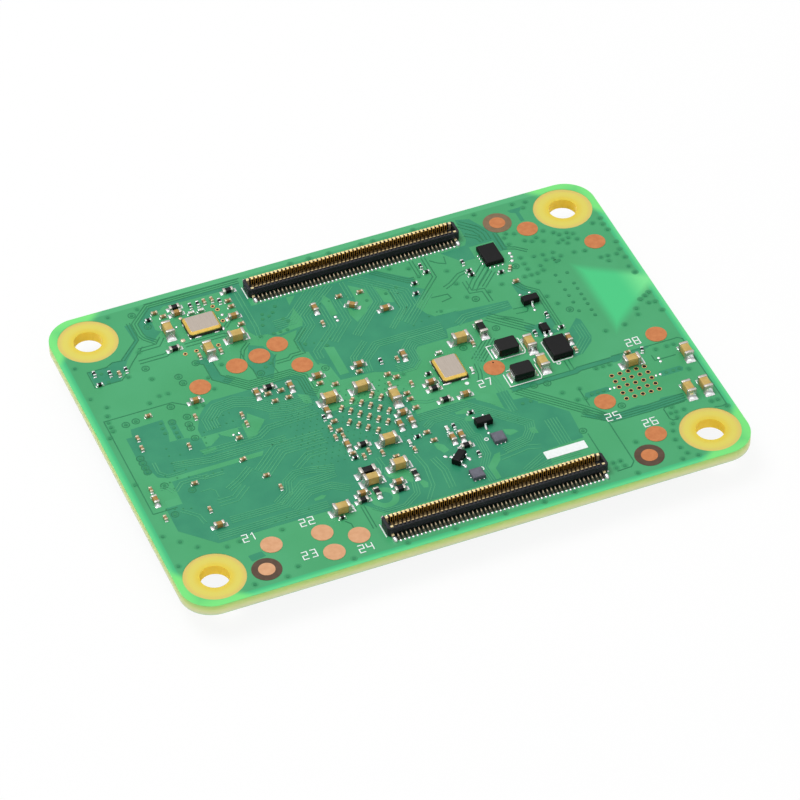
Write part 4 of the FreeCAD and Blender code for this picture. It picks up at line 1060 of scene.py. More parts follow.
# Paler tracks in the darker fields, in the same form
TRACK_LINES = [
    (2, 0.35, [(-8.97, 18.2), (-8.97, 12.2), (-9.2, 10.6)]),
    (5, 0.27, [(-2.2, 15.2), (-5.6, 11.9), (-7.3, 11.9)]),
    (4, 0.27, [(-0.6, 15.1), (-4.2, 12.0), (-4.2, 10.6), (-6.0, 8.8)]),
    (3, 0.3, [(-2.3, 12.6), (-2.3, 9.6), (-5.0, 7.0), (-5.0, 5.9)]),
    (3, 0.3, [(-0.75, 13.0), (-0.75, 9.9), (-3.0, 7.6)]),
    (4, 0.3, [(1.6, 15.2), (5.6, 11.5), (5.6, 9.4), (3.9, 7.7)]),
    (2, 0.35, [(0.6, 15.0), (0.6, 12.6)]),
    (4, 0.25, [(2.75, 13.6), (2.75, 11.2), (-0.8, 7.6)]),
    (3, 0.25, [(4.7, 12.3), (4.7, 9.4), (2.6, 7.2)]),
    (4, 0.28, [(7.6, 10.6), (4.3, 7.2)]),
    (6, 0.22, [(6.9, 4.8), (3.6, 4.8), (2.9, 4.1), (2.9, 2.4), (2.3, 1.8), (0.9, 1.8)]),
    (4, 0.25, [(7.0, 5.8), (0.4, 5.8), (-1.4, 4.1), (-1.6, 2.6)]),
    (3, 0.25, [(-0.4, 6.6), (-2.2, 4.9), (-2.6, 3.0)]),
    (3, 0.3, [(13.9, 6.1), (9.4, 6.1), (8.4, 5.4)]),
    (6, 0.25, [(-17.4, 1.0), (-17.4, 2.3), (-16.2, 3.5), (-14.5, 3.7), (-13.0, 3.0), (-11.7, 1.8),
        (-10.2, 1.3), (-7.8, 1.2)]),
    (3, 0.3, [(-19.5, -1.5), (-14.0, -1.5), (-12.8, -0.7), (-8.0, -0.6)]),
    (6, 0.32, [(-15.4, -6.0), (-12.9, -3.7), (-8.6, -3.7)]),
    (3, 0.35, [(-12.4, -6.6), (-10.8, -5.4), (-9.0, -5.4)]),
    (4, 0.25, [(-15.6, -10.2), (-14.2, -9.2), (-13.8, -7.9), (-12.8, -7.2), (-11.4, -7.3), (-9.2, -7.9)]),
    (4, 0.25, [(-20.2, -10.5), (-15.0, -10.6), (-12.6, -8.7), (-9.4, -8.6)]),
    (4, 0.25, [(-14.6, -11.4), (-12.5, -9.9), (-10.3, -9.9), (-8.9, -10.9)]),
    (3, 0.3, [(-19.0, -6.8), (-17.6, -6.0), (-16.2, -4.9)]),
    (2, 0.3, [(-23.4, -5.2), (-22.6, -4.4), (-20.0, -4.4)]),
    (3, 0.28, [(-12.2, 0.6), (-10.6, 0.2), (-8.4, 0.2)]),
    (4, 0.25, [(-22.5, -2.0), (-19.0, -2.6), (-11.8, -2.6)]),
    (2, 0.25, [(-24.0, -1.0), (-24.0, -2.4), (-23.4, -3.1), (-21.8, -3.1)]),
    (3, 0.4, [(-17.4, -6.9), (-18.8, -8.1), (-20.4, -8.1)]),
    (1, 0.3, [(-21.4, -6.1), (-20.5, -6.1), (-20.1, -6.5), (-20.1, -7.4)]),
    (2, 0.3, [(-23.9, -7.6), (-22.6, -8.9), (-22.4, -10.0)]),
    (4, 0.25, [(-22.0, -12.0), (-11.4, -12.0)]),
    (3, 0.24, [(-7.9, -13.9), (-6.9, -14.9), (-5.2, -14.9), (-3.6, -13.8), (-3.3, -12.4)]),
    (2, 0.3, [(-1.9, -9.0), (-1.6, -11.0), (-1.9, -13.4), (-3.0, -15.0)]),
    (3, 0.3, [(-0.6, -10.2), (-0.2, -12.0), (-0.4, -14.4)]),
    (2, 0.3, [(-5.2, -8.2), (-5.1, -9.4), (-5.5, -10.4)]),
    (5, 0.22, [(0.2, -4.8), (4.6, -4.8), (9.2, -9.4), (9.0, -10.2), (8.2, -11.2), (5.7, -11.7)]),
    (4, 0.22, [(0.3, -6.3), (1.2, -5.7), (2.7, -5.7), (3.7, -6.8), (3.8, -8.8), (4.2, -9.2), (4.1, -11.6),
        (3.2, -13.0), (3.3, -15.0)]),
    (3, 0.28, [(8.4, 1.6), (8.3, -0.8), (8.6, -3.4), (8.6, -7.4)]),
    (5, 0.28, [(11.2, -9.6), (11.2, -13.2)]),
    (3, 0.25, [(12.0, -14.6), (9.2, -14.6), (7.0, -15.2)]),
    (3, 0.25, [(8.8, -13.6), (6.4, -14.9)]),
    (2, 0.5, [(5.0, -12.6), (7.8, -12.2), (9.0, -12.6)]),
    (4, 0.28, [(18.6, 1.0), (18.6, -0.9), (17.0, -2.5)]),
    (2, 0.3, [(0.6, -2.6), (1.8, -3.2), (2.6, -3.2)]),
    (2, 0.3, [(-24.6, -4.4), (-24.0, -4.4), (-23.6, -5.2)]),
    (2, 0.3, [(-21.2, -4.0), (-20.4, -4.6), (-18.6, -4.6)]),
]

# Vias: a dark dot each, and those that stand alone in a plane have a ring of bare gap round them
VIA_DOTS = [
    (-21.2, 18.9), (-18.3, 18.9), (-20.15, 13.3), (-26.35, 13.5), (-24.35, 11.9), (-24.1, 10.6),
    (-22.2, 10.55), (-20.3, 9.45), (-26.4, 9.1), (-25.4, 7.5), (-20.45, 7.05), (-19.6, 7.05),
    (-21.6, 6.5), (-25.75, 6.35), (-25.95, 5.5), (-25.95, 4.85), (-25.95, 4.3), (-26.5, 3.55),
    (-15.5, 7.6), (-15.5, 6.0), (-26.5, -3.0), (-26.5, -10.1), (-25.3, -11.3), (-24.1, -12.5),
    (-21.7, -13.5), (-26.5, -14.1), (-16.4, -13.4), (-20.4, -13.3), (-21.1, -18.8), (-18.1, -19.0),
    (-16.8, -18.2), (-20.7, 2.6), (-20.7, 1.9), (-20.7, 1.3), (-21.7, 2.9), (-21.7, 2.2), (-21.6, 3.6),
    (-17.9, 4.3), (-17.2, 4.35), (-7.8, 13.7), (-6.8, 13.6), (-8.0, 13.1), (-7.3, 13.25), (-6.3, 14.3),
    (-8.3, 12.3), (-6.2, 12.4), (-5.9, 11.9), (-7.75, 10.85), (-7.1, 10.85), (-6.4, 10.85), (-9.0, 10.95),
    (-13.7, 8.8), (-10.1, 6.9), (-9.5, 7.2), (-3.8, 7.4), (-5.6, 8.4), (5.5, 15.0), (7.2, 14.3),
    (7.65, 12.9), (1.9, 11.7), (5.1, 12.3), (3.9, 11.9), (10.4, 12.6), (10.5, 10.6), (7.7, 7.6),
    (10.7, 8.5), (12.9, 8.4), (15.85, 19.0), (19.8, 18.95), (21.1, 18.8), (20.6, 18.1), (17.6, 15.3),
    (17.2, 14.8), (18.3, 15.0), (17.25, 13.8), (21.0, 14.3), (20.0, 13.7), (18.85, 13.7), (19.45, 13.35),
    (20.45, 12.95), (21.8, 13.7), (22.2, 13.2), (22.95, 13.2), (23.45, 12.85), (22.8, 12.5), (22.2, 12.4),
    (21.65, 12.2), (22.45, 11.8), (23.5, 12.0), (20.6, 11.15), (19.6, 11.2), (18.75, 11.3), (17.5, 11.6),
    (25.8, 13.5), (26.7, 13.9), (26.6, 13.0), (26.7, 12.1), (19.6, 10.4), (20.3, 10.4), (21.1, 10.4),
    (22.5, 10.4), (23.5, 10.2), (17.5, 10.7), (26.7, 10.2), (26.6, 9.1), (26.1, 8.6), (25.2, 8.7),
    (24.5, 8.75), (25.0, 8.0), (26.6, 7.9), (26.4, 6.6), (26.6, 5.6), (26.6, 2.5), (26.1, 2.2),
    (25.5, 1.9), (26.0, 1.2), (26.6, 1.1), (24.6, 0.9), (17.65, 7.85), (17.6, 5.7), (18.15, 4.4),
    (14.4, 8.9), (16.8, 9.0), (17.5, 9.0), (18.1, 9.0), (18.8, 9.2), (17.5, 9.9), (18.8, 9.9),
    (20.4, 9.8), (20.7, -0.8), (22.7, -0.7), (24.4, 0.1), (26.7, -0.2), (17.8, -5.1), (18.5, -5.1),
    (19.1, -5.1), (23.9, -4.9), (25.0, -4.9), (25.7, -4.9), (14.5, -8.3), (25.6, -8.5), (15.3, -7.0),
    (15.3, -8.4), (22.0, -12.5), (21.6, -13.2), (22.1, -13.2), (22.9, -13.2), (21.9, -13.9),
    (25.7, -13.2), (26.3, -13.2), (21.2, -14.5), (20.8, -15.4), (20.5, -16.5), (20.5, -17.6),
    (20.8, -18.5), (20.1, -19.05), (21.6, -19.1), (15.6, -19.1), (17.1, -15.4), (14.1, -17.1),
    (14.8, -17.1), (14.1, -17.8), (14.9, -17.8), (26.7, -14.3), (16.0, -8.1), (16.6, -8.1), (17.2, -8.1),
    (23.5, -8.1), (24.2, -8.1), (24.8, -8.1), (13.6, -6.9), (9.7, -6.8), (10.5, -6.8), (1.2, 1.1),
    (-2.2, -19.2), (2.6, -19.2), (6.4, -19.2), (-6.8, -19.2), (9.4, -19.1), (-11.9, -19.2), (1.1, 19.2),
    (4.4, 19.2), (5.6, 19.2), (9.7, 19.2), (-2.8, 19.25), (-0.9, 19.25),
]
RING_VIAS = [
    (-19.05, 18.3), (-18.2, 16.25), (-20.35, 11.0), (-17.95, 8.8), (-17.85, 7.85), (-24.6, 4.65),
    (-23.6, 4.75), (-20.0, 5.3), (-20.6, 3.35), (-19.1, 3.5), (-19.3, 2.5), (-19.3, 1.95), (-19.4, 0.6),
    (-24.9, 0.0), (-24.9, -0.65), (-24.9, -1.3), (-24.9, -1.9), (-10.8, 6.3), (-5.1, 4.6), (7.65, 2.2),
    (11.5, 3.5), (11.35, 7.95), (12.85, -5.2), (11.6, -5.0), (13.3, -12.2), (18.85, 3.2), (17.9, -10.55),
    (16.6, 10.7), (-15.85, 9.9), (-24.1, -4.1), (-24.5, -7.9), (-22.0, -5.6),
]
VIA_COLUMNS = [
    (20.7, (9.9, 8.0, 6.4, 5.6, 4.75, 4.0, 3.3, 2.4, 1.6)),
    (19.55, (8.1, 7.1, 5.9, 5.0, 4.0, 2.7)),
]
# Rows of small vias: a first place, a step and a count
SMALL_VIA_ROWS = [
    (-22.3, 0.3, -0.1, -0.98, 5), (-21.4, -0.9, -0.1, -1.0, 4), (-17.2, 2.2, 0.6, 0.1, 4),
    (-17.4, 1.2, 0.65, 0.05, 4), (-18.4, 1.0, -0.15, -0.7, 4), (-25.0, -7.0, 0.7, -0.25, 4),
    (-20.4, -4.4, 0.9, 0.1, 3), (-23.6, -3.0, 0.1, -0.9, 3), (-16.6, -12.2, 1.1, 0.1, 4),
    (-12.4, -2.9, 0.9, -0.3, 5), (-9.4, -13.4, 0.9, 0.3, 4), (-6.4, 8.2, 0.8, 0.0, 5),
    (4.6, 6.8, 0.9, 0.3, 4), (-3.2, 13.0, 0.9, 0.0, 5), (5.6, -6.2, 0.7, -0.6, 5),
]
SMALL_VIA_RADIUS = 0.09
VIA_RADIUS = 0.18
VIA_CORNERS = 12
HALO_RADIUS = 0.36
HALO_CORNERS = 14
HALO_TOPS = (0.0006, 0.001, 0.0014)
VIA_RING_RADIUS = 0.34
GAP_WIDTH = 0.1
TRACK_WIDTH = 0.09
# An island in the form of a ring: its place, inner and outer radius
ISLAND_RING = (-6.5, -13.2, 0.7, 1.3)
ISLAND_RING_CORNERS = 32

# A fine grid of vias under the processor
GRID_PITCH = 0.65
GRID_DOT_RADIUS = 0.07
DOT_CORNERS = 8
GRID_LEFT = -10.9
GRID_RIGHT = 1.0
GRID_FAR = 1.2
GRID_NEAR = -8.2


def tracks(shape, lines, width, level, place=ORIGIN):
    """Bundles of thin lines. Each line has a height of its own."""
    for count, pitch, path in lines:
        for index in range(count):
            beside = offset_path(path, (index - (count - 1) / 2) * pitch)
            ribbon(shape, beside, width, 0.0, level + shape.lift(), place)


def dots(shape, places, radius, corners, place=ORIGIN):
    """A via at each place. Each one has a height of its own."""
    for x, y in places:
        prism(shape, circle(x, y, radius, corners), 0.0, VIA_TOP + shape.lift(), place)


def row_places(rows):
    """The places along some rows, each given as its first place, a step and a count."""
    places = []
    for x, y, step_x, step_y, count in rows:
        places += [(x + index * step_x, y + index * step_y) for index in range(count)]
    return places


def grid_places():
    """The fine grid of vias, every second row shifted by half a pitch."""
    places = []
    rows = int((GRID_FAR - GRID_NEAR) / GRID_PITCH)
    columns = int((GRID_RIGHT - GRID_LEFT) / GRID_PITCH)
    for row in range(rows):
        shift = GRID_PITCH / 2 * (row % 2)
        for column in range(columns):
            places.append((GRID_LEFT + shift + column * GRID_PITCH, GRID_FAR - row * GRID_PITCH))
    return places


def make_fields():
    """The fields of bare laminate and the islands of copper that show through the mask."""
    teal = Shape()
    for outline in TEAL_FIELDS:
        plate(teal, [outline], 0.0, FIELD_TOP + teal.lift())
    teal.make("teal_fields", FIELD_TEAL)
    green = Shape()
    for outline in GREEN_FIELDS:
        plate(green, [outline], 0.0, ISLAND_TOP + green.lift())
    ring(green, *ISLAND_RING, 0.0, ISLAND_TOP + green.lift(), ISLAND_RING_CORNERS)
    green.make("copper_islands", FIELD_GREEN)


def make_tracks():
    """The dark gaps and the pale tracks."""
    gaps = Shape()
    tracks(gaps, GAP_LINES, GAP_WIDTH, GAP_TOP)
    inner = VIA_RING_RADIUS - GAP_WIDTH / 2
    outer = VIA_RING_RADIUS + GAP_WIDTH / 2
    for x, y in RING_VIAS:
        ring(gaps, x, y, inner, outer, 0.0, GAP_TOP + gaps.lift())
    gaps.make("copper_gaps", GAP_DARK)
    pale = Shape()
    tracks(pale, TRACK_LINES, TRACK_WIDTH, TRACK_TOP)
    pale.make("copper_tracks", TRACK_GREEN)


def make_vias():
    """The vias, large and small, and the haze round those that stand in a field."""
    halos = Shape()
    for index, (x, y) in enumerate(VIA_DOTS):
        prism(halos, circle(x, y, HALO_RADIUS, HALO_CORNERS), 0.0, HALO_TOPS[index % len(HALO_TOPS)])
    halos.make("via_halos", HALO_GREEN)
    vias = Shape()
    columns = [(x, y) for x, column in VIA_COLUMNS for y in column]
    dots(vias, VIA_DOTS + RING_VIAS + columns, VIA_RADIUS, VIA_CORNERS)
    dots(vias, grid_places(), GRID_DOT_RADIUS, DOT_CORNERS)
    dots(vias, row_places(SMALL_VIA_ROWS), SMALL_VIA_RADIUS, DOT_CORNERS)
    vias.make("vias", VIA_GREEN)


# Plated holes with a dark middle of painted shade, and the cooling holes, plugged with the same painted shade
PLATED_HOLES = [(-16.3, 11.4), (-15.2, 11.4), (-13.05, 11.35), (-11.65, 16.55), (-11.4, 15.95), (-11.5, 14.3)]
PLATED_HOLE_RADIUS = 0.13
PLATED_RING_WIDTH = 0.08
PLATED_RING_CORNERS = 16
PLATED_CORNERS = 14
COOLING_DARK_RADIUS = 0.18
COOLING_RING_WIDTH = 0.05
COOLING_PLUG_LOW = -0.9
# A dark dot on the last test pad: a place and a radius
PAD_DOT = (9.38, -0.72, 0.09)
PAD_DOT_TOP = PAD_TOP + 2 * FIELD_STEP


def make_plated_holes():
    """A copper ring round each plated hole, with a dark middle of painted shade where no hole was drilled in
    the model, and a plug of it in the drilled cooling holes.
    """
    rings = Shape()
    middles = Shape()
    for places, radius, width, plug_low in (
        (cooling_places(), COOLING_DARK_RADIUS, COOLING_RING_WIDTH, COOLING_PLUG_LOW),
        (PLATED_HOLES, PLATED_HOLE_RADIUS, PLATED_RING_WIDTH, 0.0),
    ):
        for x, y in places:
            ring(rings, x, y, radius, radius + width, 0.0, PAD_TOP, PLATED_RING_CORNERS)
            # A dark middle of painted shade in each hole
            prism(middles, circle(x, y, radius, PLATED_CORNERS), plug_low, VIA_TOP)
    prism(middles, circle(*PAD_DOT, VIA_CORNERS), 0.0, PAD_DOT_TOP)
    rings.make("hole_rings", HOLE_GOLD)
    middles.make("hole_middles", HOLE_PAINTED_SHADE)


# White print: outlines, marks and one bar

PRINT_LINES = [
    [(-8.25, 17.9), (-8.25, 16.25)],
    [(-8.25, -16.2), (-8.25, -17.9)],
    [(10.1, 1.45), (9.58, 1.45), (9.58, -0.35)],
    [(10.1, -0.65), (12.6, -0.65), (12.78, -0.3), (12.78, 1.35), (12.7, 1.5)],
    [(9.57, -2.6), (9.57, -4.38), (12.62, -4.38), (12.8, -4.1), (12.8, -2.4)],
    [(10.0, -2.3), (10.35, -2.25)],
    [(14.7, 0.1), (14.52, 0.0), (14.52, -2.88), (16.4, -2.88), (16.55, -2.6)],
    [(4.08, 1.7), (4.08, 1.2)],
    [(4.08, 0.9), (4.08, 0.5)],
    [(4.08, -0.6), (4.08, -1.2)],
    [(2.98, -12.95), (3.08, -13.1), (3.08, -13.3), (2.98, -13.4)],
    [(12.8, -18.0), (12.9, -18.7)],
]
PRINT_RINGS = [(14.92, -3.12, 0.17), (4.8, -9.85, 0.17)]
PRINT_DOTS = [(6.07, -2.36, 0.2), (13.2, -17.9, 0.1)]
PRINT_WIDTH = 0.09
PRINT_DOT_CORNERS = 20
BAR_PLACE = (10.83, -13.9)
BAR_SIZE = (4.03, 1.0)

# Plain numbers beside the test pads, each the left end of its line and a number
NUMBER_PLACES = [
    (-20.1, -13.65, "21"), (-14.7, -13.8, "22"), (-16.0, -17.7, "23"), (-11.1, -18.85, "24"),
    (15.9, -12.0, "25"), (18.7, -14.0, "26"), (7.0, -3.4, "27"), (21.7, -3.6, "28"),
]
NUMBER_WIDTH = 0.5
NUMBER_HEIGHT = 0.9
NUMBER_STEP = 0.8
# The strokes of each digit, in a field one wide and two high
DIGIT_STROKES = {
    "1": [[(0.1, 1.6), (0.5, 2), (0.5, 0)]],
    "2": [[(0, 2), (1, 2), (1, 1), (0, 1), (0, 0), (1, 0)]],
    "3": [[(0, 2), (1, 2), (1, 0), (0, 0)], [(0.2, 1), (1, 1)]],
    "4": [[(0, 2), (0, 1), (1, 1)], [(1, 2), (1, 0)]],
    "5": [[(1, 2), (0, 2), (0, 1), (1, 1), (1, 0), (0, 0)]],
    "6": [[(1, 2), (0, 2), (0, 0), (1, 0), (1, 1), (0, 1)]],
    "7": [[(0, 2), (1, 2), (0.4, 0)]],
    "8": [[(0, 0), (1, 0), (1, 2), (0, 2), (0, 0)], [(0, 1), (1, 1)]],
}


def write_number(shape, x, y, text):
    """A plain number in straight strokes."""
    for index, digit in enumerate(text):
        left = x + index * NUMBER_STEP
        for stroke in DIGIT_STROKES[digit]:
            path = [(left + px * NUMBER_WIDTH, y + py * NUMBER_HEIGHT / 2) for px, py in stroke]
            ribbon(shape, path, PRINT_WIDTH, 0.0, PRINT_TOP + shape.lift())


def make_print():
    """The white print on the board."""
    white = Shape()
    for path in PRINT_LINES:
        ribbon(white, path, PRINT_WIDTH, 0.0, PRINT_TOP + white.lift())
    for x, y, radius in PRINT_RINGS:
        ring(white, x, y, radius - PRINT_WIDTH / 2, radius + PRINT_WIDTH / 2, 0.0, PRINT_TOP)
    for x, y, radius in PRINT_DOTS:
        prism(white, circle(x, y, radius, PRINT_DOT_CORNERS), 0.0, PRINT_TOP)
    prism(white, rounded_outline(*BAR_SIZE), 0.0, PRINT_TOP, Place(*BAR_PLACE))
    for x, y, text in NUMBER_PLACES:
        write_number(white, x, y, text)
    white.make("white_print", PRINT_WHITE)


# Loose solder: each drop a place, a radius, a height, how much longer than wide, and a turn

SOLDER_DROPS = [
    (-16.05, -0.38, 0.12, 0.08, 1.3, 60), (-15.5, -0.36, 0.12, 0.08, 1.3, 110),
    (-15.75, 15.2, 0.12, 0.06, 1.0, 0), (-11.25, 15.12, 0.18, 0.1, 1.0, 0),
    (16.8, 12.58, 0.2, 0.12, 1.0, 0), (16.8, 12.08, 0.17, 0.1, 1.0, 0), (16.6, 11.55, 0.2, 0.12, 1.0, 0),
    (-1.65, 10.72, 0.18, 0.1, 1.0, 0), (-1.65, 10.2, 0.18, 0.1, 1.0, 0),
    (23.66, -6.08, 0.16, 0.08, 1.0, 0), (23.64, -6.55, 0.16, 0.08, 1.0, 0),
    (17.85, -8.12, 0.14, 0.07, 1.0, 0), (18.27, -8.12, 0.12, 0.07, 1.4, 80),
    (22.45, -8.12, 0.12, 0.07, 1.4, 80), (22.88, -8.12, 0.15, 0.07, 1.0, 0),
    (14.32, 11.42, 0.1, 0.09, 1.5, 60), (14.75, 11.42, 0.1, 0.09, 1.5, 60),
    (15.15, 11.42, 0.1, 0.09, 1.5, 60), (15.58, 11.42, 0.1, 0.09, 1.5, 60),
    (13.9, 12.2, 0.1, 0.09, 1.6, 50), (13.9, 12.6, 0.1, 0.09, 1.6, 50), (13.9, 13.0, 0.1, 0.09, 1.6, 50),
    (13.9, 13.4, 0.1, 0.09, 1.6, 50), (15.35, 0.75, 0.2, 0.14, 1.0, 0), (15.87, 0.76, 0.2, 0.16, 1.0, 0),
    (15.8, 4.4, 0.15, 0.1, 1.2, 80), (15.35, 6.8, 0.14, 0.12, 1.2, 0), (16.3, 6.8, 0.13, 0.1, 1.2, 0),
    (5.3, -9.15, 0.15, 0.1, 1.2, 80), (4.8, -6.8, 0.13, 0.1, 1.2, 0), (5.75, -6.8, 0.12, 0.1, 1.2, 0),
    (2.4, -11.68, 0.16, 0.12, 1.1, 60), (1.68, -12.38, 0.16, 0.12, 1.1, 60),
    (0.5, -10.5, 0.16, 0.12, 1.5, -40), (5.45, -10.85, 0.09, 0.07, 1.1, 70),
    (5.82, -10.85, 0.09, 0.07, 1.1, 70), (6.22, -10.85, 0.09, 0.07, 1.1, 70),
    (1.78, -14.4, 0.09, 0.07, 1.1, 70), (2.2, -14.4, 0.09, 0.07, 1.1, 70),
    (2.62, -14.4, 0.09, 0.07, 1.1, 70), (1.6, -13.45, 0.08, 0.06, 1.3, 0),
    (1.6, -13.85, 0.08, 0.06, 1.3, 0), (-15.1, 15.1, 0.13, 0.14, 2.2, 90),
    (-15.1, 13.7, 0.13, 0.12, 1.8, 90), (-15.1, 13.2, 0.13, 0.1, 1.2, 90),
    (-14.35, 13.12, 0.1, 0.1, 3.6, 0), (-12.5, 13.12, 0.09, 0.08, 3.0, 0),
    (-11.82, 13.3, 0.14, 0.12, 1.8, 80), (-11.72, 14.8, 0.06, 0.08, 2.5, 90),
    (4.4, -1.72, 0.13, 0.12, 3.4, 0), (6.1, -1.72, 0.12, 0.12, 3.0, 0), (7.15, -0.55, 0.1, 0.08, 1.8, 70),
]
TAN_DROPS = [(-15.0, 16.15, 0.2, 0.1, 1.1, 90), (-15.85, 13.22, 0.25, 0.1, 1.0, 0)]
# Reach, width, height and waist of the fillet at a strap
STRAP_FILLET = (0.32, 1.35, 0.5, 0.85)
STRAP_HALF_GAUGE = 0.05


def make_drops():
    """The drops of solder that stand apart from the chips' own ends."""
    for name, drops, finish in (("solder_drops", SOLDER_DROPS, TIN), ("plated_pads", TAN_DROPS, TAN_METAL)):
        solder = Shape()
        for x, y, radius, height, stretch, degrees in drops:
            dome(solder, Place(x, y, degrees), radius, height, stretch)
        solder.make(name, finish)


def make_strap_solder(node, name):
    """A fillet outside each strap of the inductors."""
    cores = standing_parts(node.replace("straps", "cores"))
    solder = Shape()
    for place, _, width, _, _ in standing_parts(node):
        core = min(cores, key=lambda part: math.dist((part[0].x, part[0].y), (place.x, place.y)))[0]
        outward = math.degrees(math.atan2(place.y - core.y, place.x - core.x))
        start = Place(place.x, place.y, outward, place.under).beside(width / 2 - STRAP_HALF_GAUGE, 0.0)
        fillet(solder, start, *STRAP_FILLET)
    solder.make(name, TIN)


# Round the connectors' feet and on the floors of their channels

# Drops: radius, height, stretch and corners
FOOT_DROP = (0.145, 0.14, 0.95, 10)
FOOT_DROP_OUT = 1.66
HOLD_DROP = (0.24, 0.32, 1.8, 12)
HOLD_DROP_OUT = 1.36
HOLD_DOWN_OUT = 0.45
# The plate of painted shade: from under the housing wall out past the legs, and its half length
SHADE_INNER = 0.6
SHADE_OUTER = 1.52
SHADE_HALF = 10.3
CHANNEL_HALF = 0.56
CHANNEL_FLOOR = 0.34
CHANNEL_PAINT = 0.01
CHANNEL_END = 9.95
FLOOR_BLADE_FAR = 0.52
FLOOR_BLADE_NEAR = 0.06
FLOOR_BLADE_LEAN = 0.12
FLOOR_BLADE_WIDTH = 0.2
FLOOR_BLADE_LOW = CHANNEL_FLOOR + 0.006
FLOOR_BLADE_HIGH = CHANNEL_FLOOR + 0.03
# Boxes about a contact's place: low corner, high corner, edge radius and edge steps
WALL_BLADE = ((-0.13, 0.5, 0.36), (0.13, 0.55, 1.02), 0.01, 1)
# The hook caps: a cream painted highlight on the far hooks
HOOK_CAP = ((-0.165, 0.65, 1.03), (0.165, 0.8, 1.075), 0.03, 2)


def dress_feet(row, name):
    """Solder on the feet and hold-downs of one connector, and the bare gaps between its legs, laid as a dark
    plate of painted shade that reaches under the housing wall.
    """
    solder = Shape()
    shade = Shape()
    for side in (-1, 1):
        for x in CONTACT_COLUMNS:
            dome(solder, Place(x, row + side * FOOT_DROP_OUT, 90.0), *FOOT_DROP)
        for x in (CONTACT_COLUMNS[0] - HOLD_DOWN_OUT, CONTACT_COLUMNS[-1] + HOLD_DOWN_OUT):
            dome(solder, Place(x, row + side * HOLD_DROP_OUT, 90.0), *HOLD_DROP)
        middle = row + side * (SHADE_INNER + SHADE_OUTER) / 2
        gap = rounded_outline(2 * SHADE_HALF, SHADE_OUTER - SHADE_INNER)
        prism(shade, gap, 0.0, GAP_TOP, Place(CONNECTOR_X, middle))
    solder.make(name + "_foot_solder", TIN)
    shade.make(name + "_bare_gaps_and_painted_shade", SHADE_GREEN)


def dress_channel(row, name):
    """The blades on the walls and the floor of one connector's channel, and the caps on its far hooks; the
    near blades and the caps carry painted highlights, the floor a sheet of painted shade.
    """
    blades = Shape()
    near_blades = Shape()
    strips = Shape()
    caps = Shape()
    floor = Shape()
    for x in CONTACT_COLUMNS:
        path = [(x, row + FLOOR_BLADE_FAR), (x - FLOOR_BLADE_LEAN, row + FLOOR_BLADE_NEAR)]
        ribbon(strips, path, FLOOR_BLADE_WIDTH, FLOOR_BLADE_LOW, FLOOR_BLADE_HIGH)
        rounded_box(blades, Place(x, row), *WALL_BLADE)
        # The near wall's blades carry a painted highlight along their tops
        rounded_box(near_blades, Place(x, row, 180.0), *WALL_BLADE)
        rounded_box(caps, Place(x, row), *HOOK_CAP)
    # The channel floor: a dark brown sheet of painted shade
    outline = rounded_outline(2 * CHANNEL_END, 2 * CHANNEL_HALF)
    prism(floor, outline, CHANNEL_FLOOR, CHANNEL_FLOOR + CHANNEL_PAINT, Place(CONNECTOR_X, row))
    blades.make(name + "_wall_blades", BLADE_GOLD)
    near_blades.make(name + "_near_blades", PAINTED_HIGHLIGHT_NEAR_BLADES)
    strips.make(name + "_floor_blades", BLADE_GREY)
    caps.make(name + "_hook_caps", PAINTED_HIGHLIGHT_HOOK_CAPS)
    floor.make(name + "_channel_floor", PAINTED_SHADE_CHANNEL_FLOOR)


# The face that the photograph doesn't show

OUTLINED = ("processor_substrate", "memory_chip", "storage_chip", "network_chip", "radio_base", "power_chip")
OUTLINE_GAP = 0.45
OUTLINE_REACH = 1.3
PIN_DOT_RADIUS = 0.2
PIN_DOT_CORNERS = 16
# Solder round some parts: a node, the step and the margin along its sides, and a drop as above
RIM_SOLDER = [
    ("network_chip", 0.5, 0.5, (0.13, 0.1, 1.7, 10)),
    ("power_chip", 0.5, 0.5, (0.13, 0.1, 1.7, 10)),
    ("radio_base", 1.6, 0.5, (0.3, 0.16, 0.8, 12)),
    ("aerial_socket_base", 1.2, 0.5, (0.3, 0.16, 1.0, 12)),
    ("underside_crystal_base", 1.2, 0.3, (0.182, 0.1, 1.2, 12)),
]
UNDER_TRACKS = [
    (7, 0.4, [(-4.5, 9.6), (-4.5, 12.6), (-6.5, 14.6), (-11.0, 14.6)]),
    (6, 0.4, [(8.0, 8.8), (10.4, 11.2), (15.5, 11.2)]),
    (5, 0.4, [(-10.2, -2.2), (-13.6, -5.6), (-13.6, -9.6)]),
    (5, 0.4, [(2.0, -10.6), (2.0, -13.6), (4.2, -15.8), (10.4, -15.8)]),
    (4, 0.4, [(17.6, -2.0), (20.2, -4.6), (20.2, -8.4)]),
    (3, 0.5, [(-24.4, -10.4), (-24.4, 6.0), (-21.2, 9.2)]),
]
UNDER_VIA_ROWS = [
    (-20.25, 18.6, 1.5, 0.0, 28), (-20.25, -18.6, 1.5, 0.0, 28),
    (-26.2, -12.6, 0.0, 1.5, 18), (26.2, -12.6, 0.0, 1.5, 18),
    (-12.4, 3.6, 0.7, -0.7, 6), (12.6, 5.0, 0.7, -0.7, 6),
    (-1.4, -12.6, -0.8, 0.0, 9), (9.0, 13.6, 0.8, 0.0, 9),
]


def flat_box(node):
    """The left, near, right and far side of a node, in millimetres."""
    low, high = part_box(node)
    return low.x / MILLIMETRE, low.y / MILLIMETRE, high.x / MILLIMETRE, high.y / MILLIMETRE


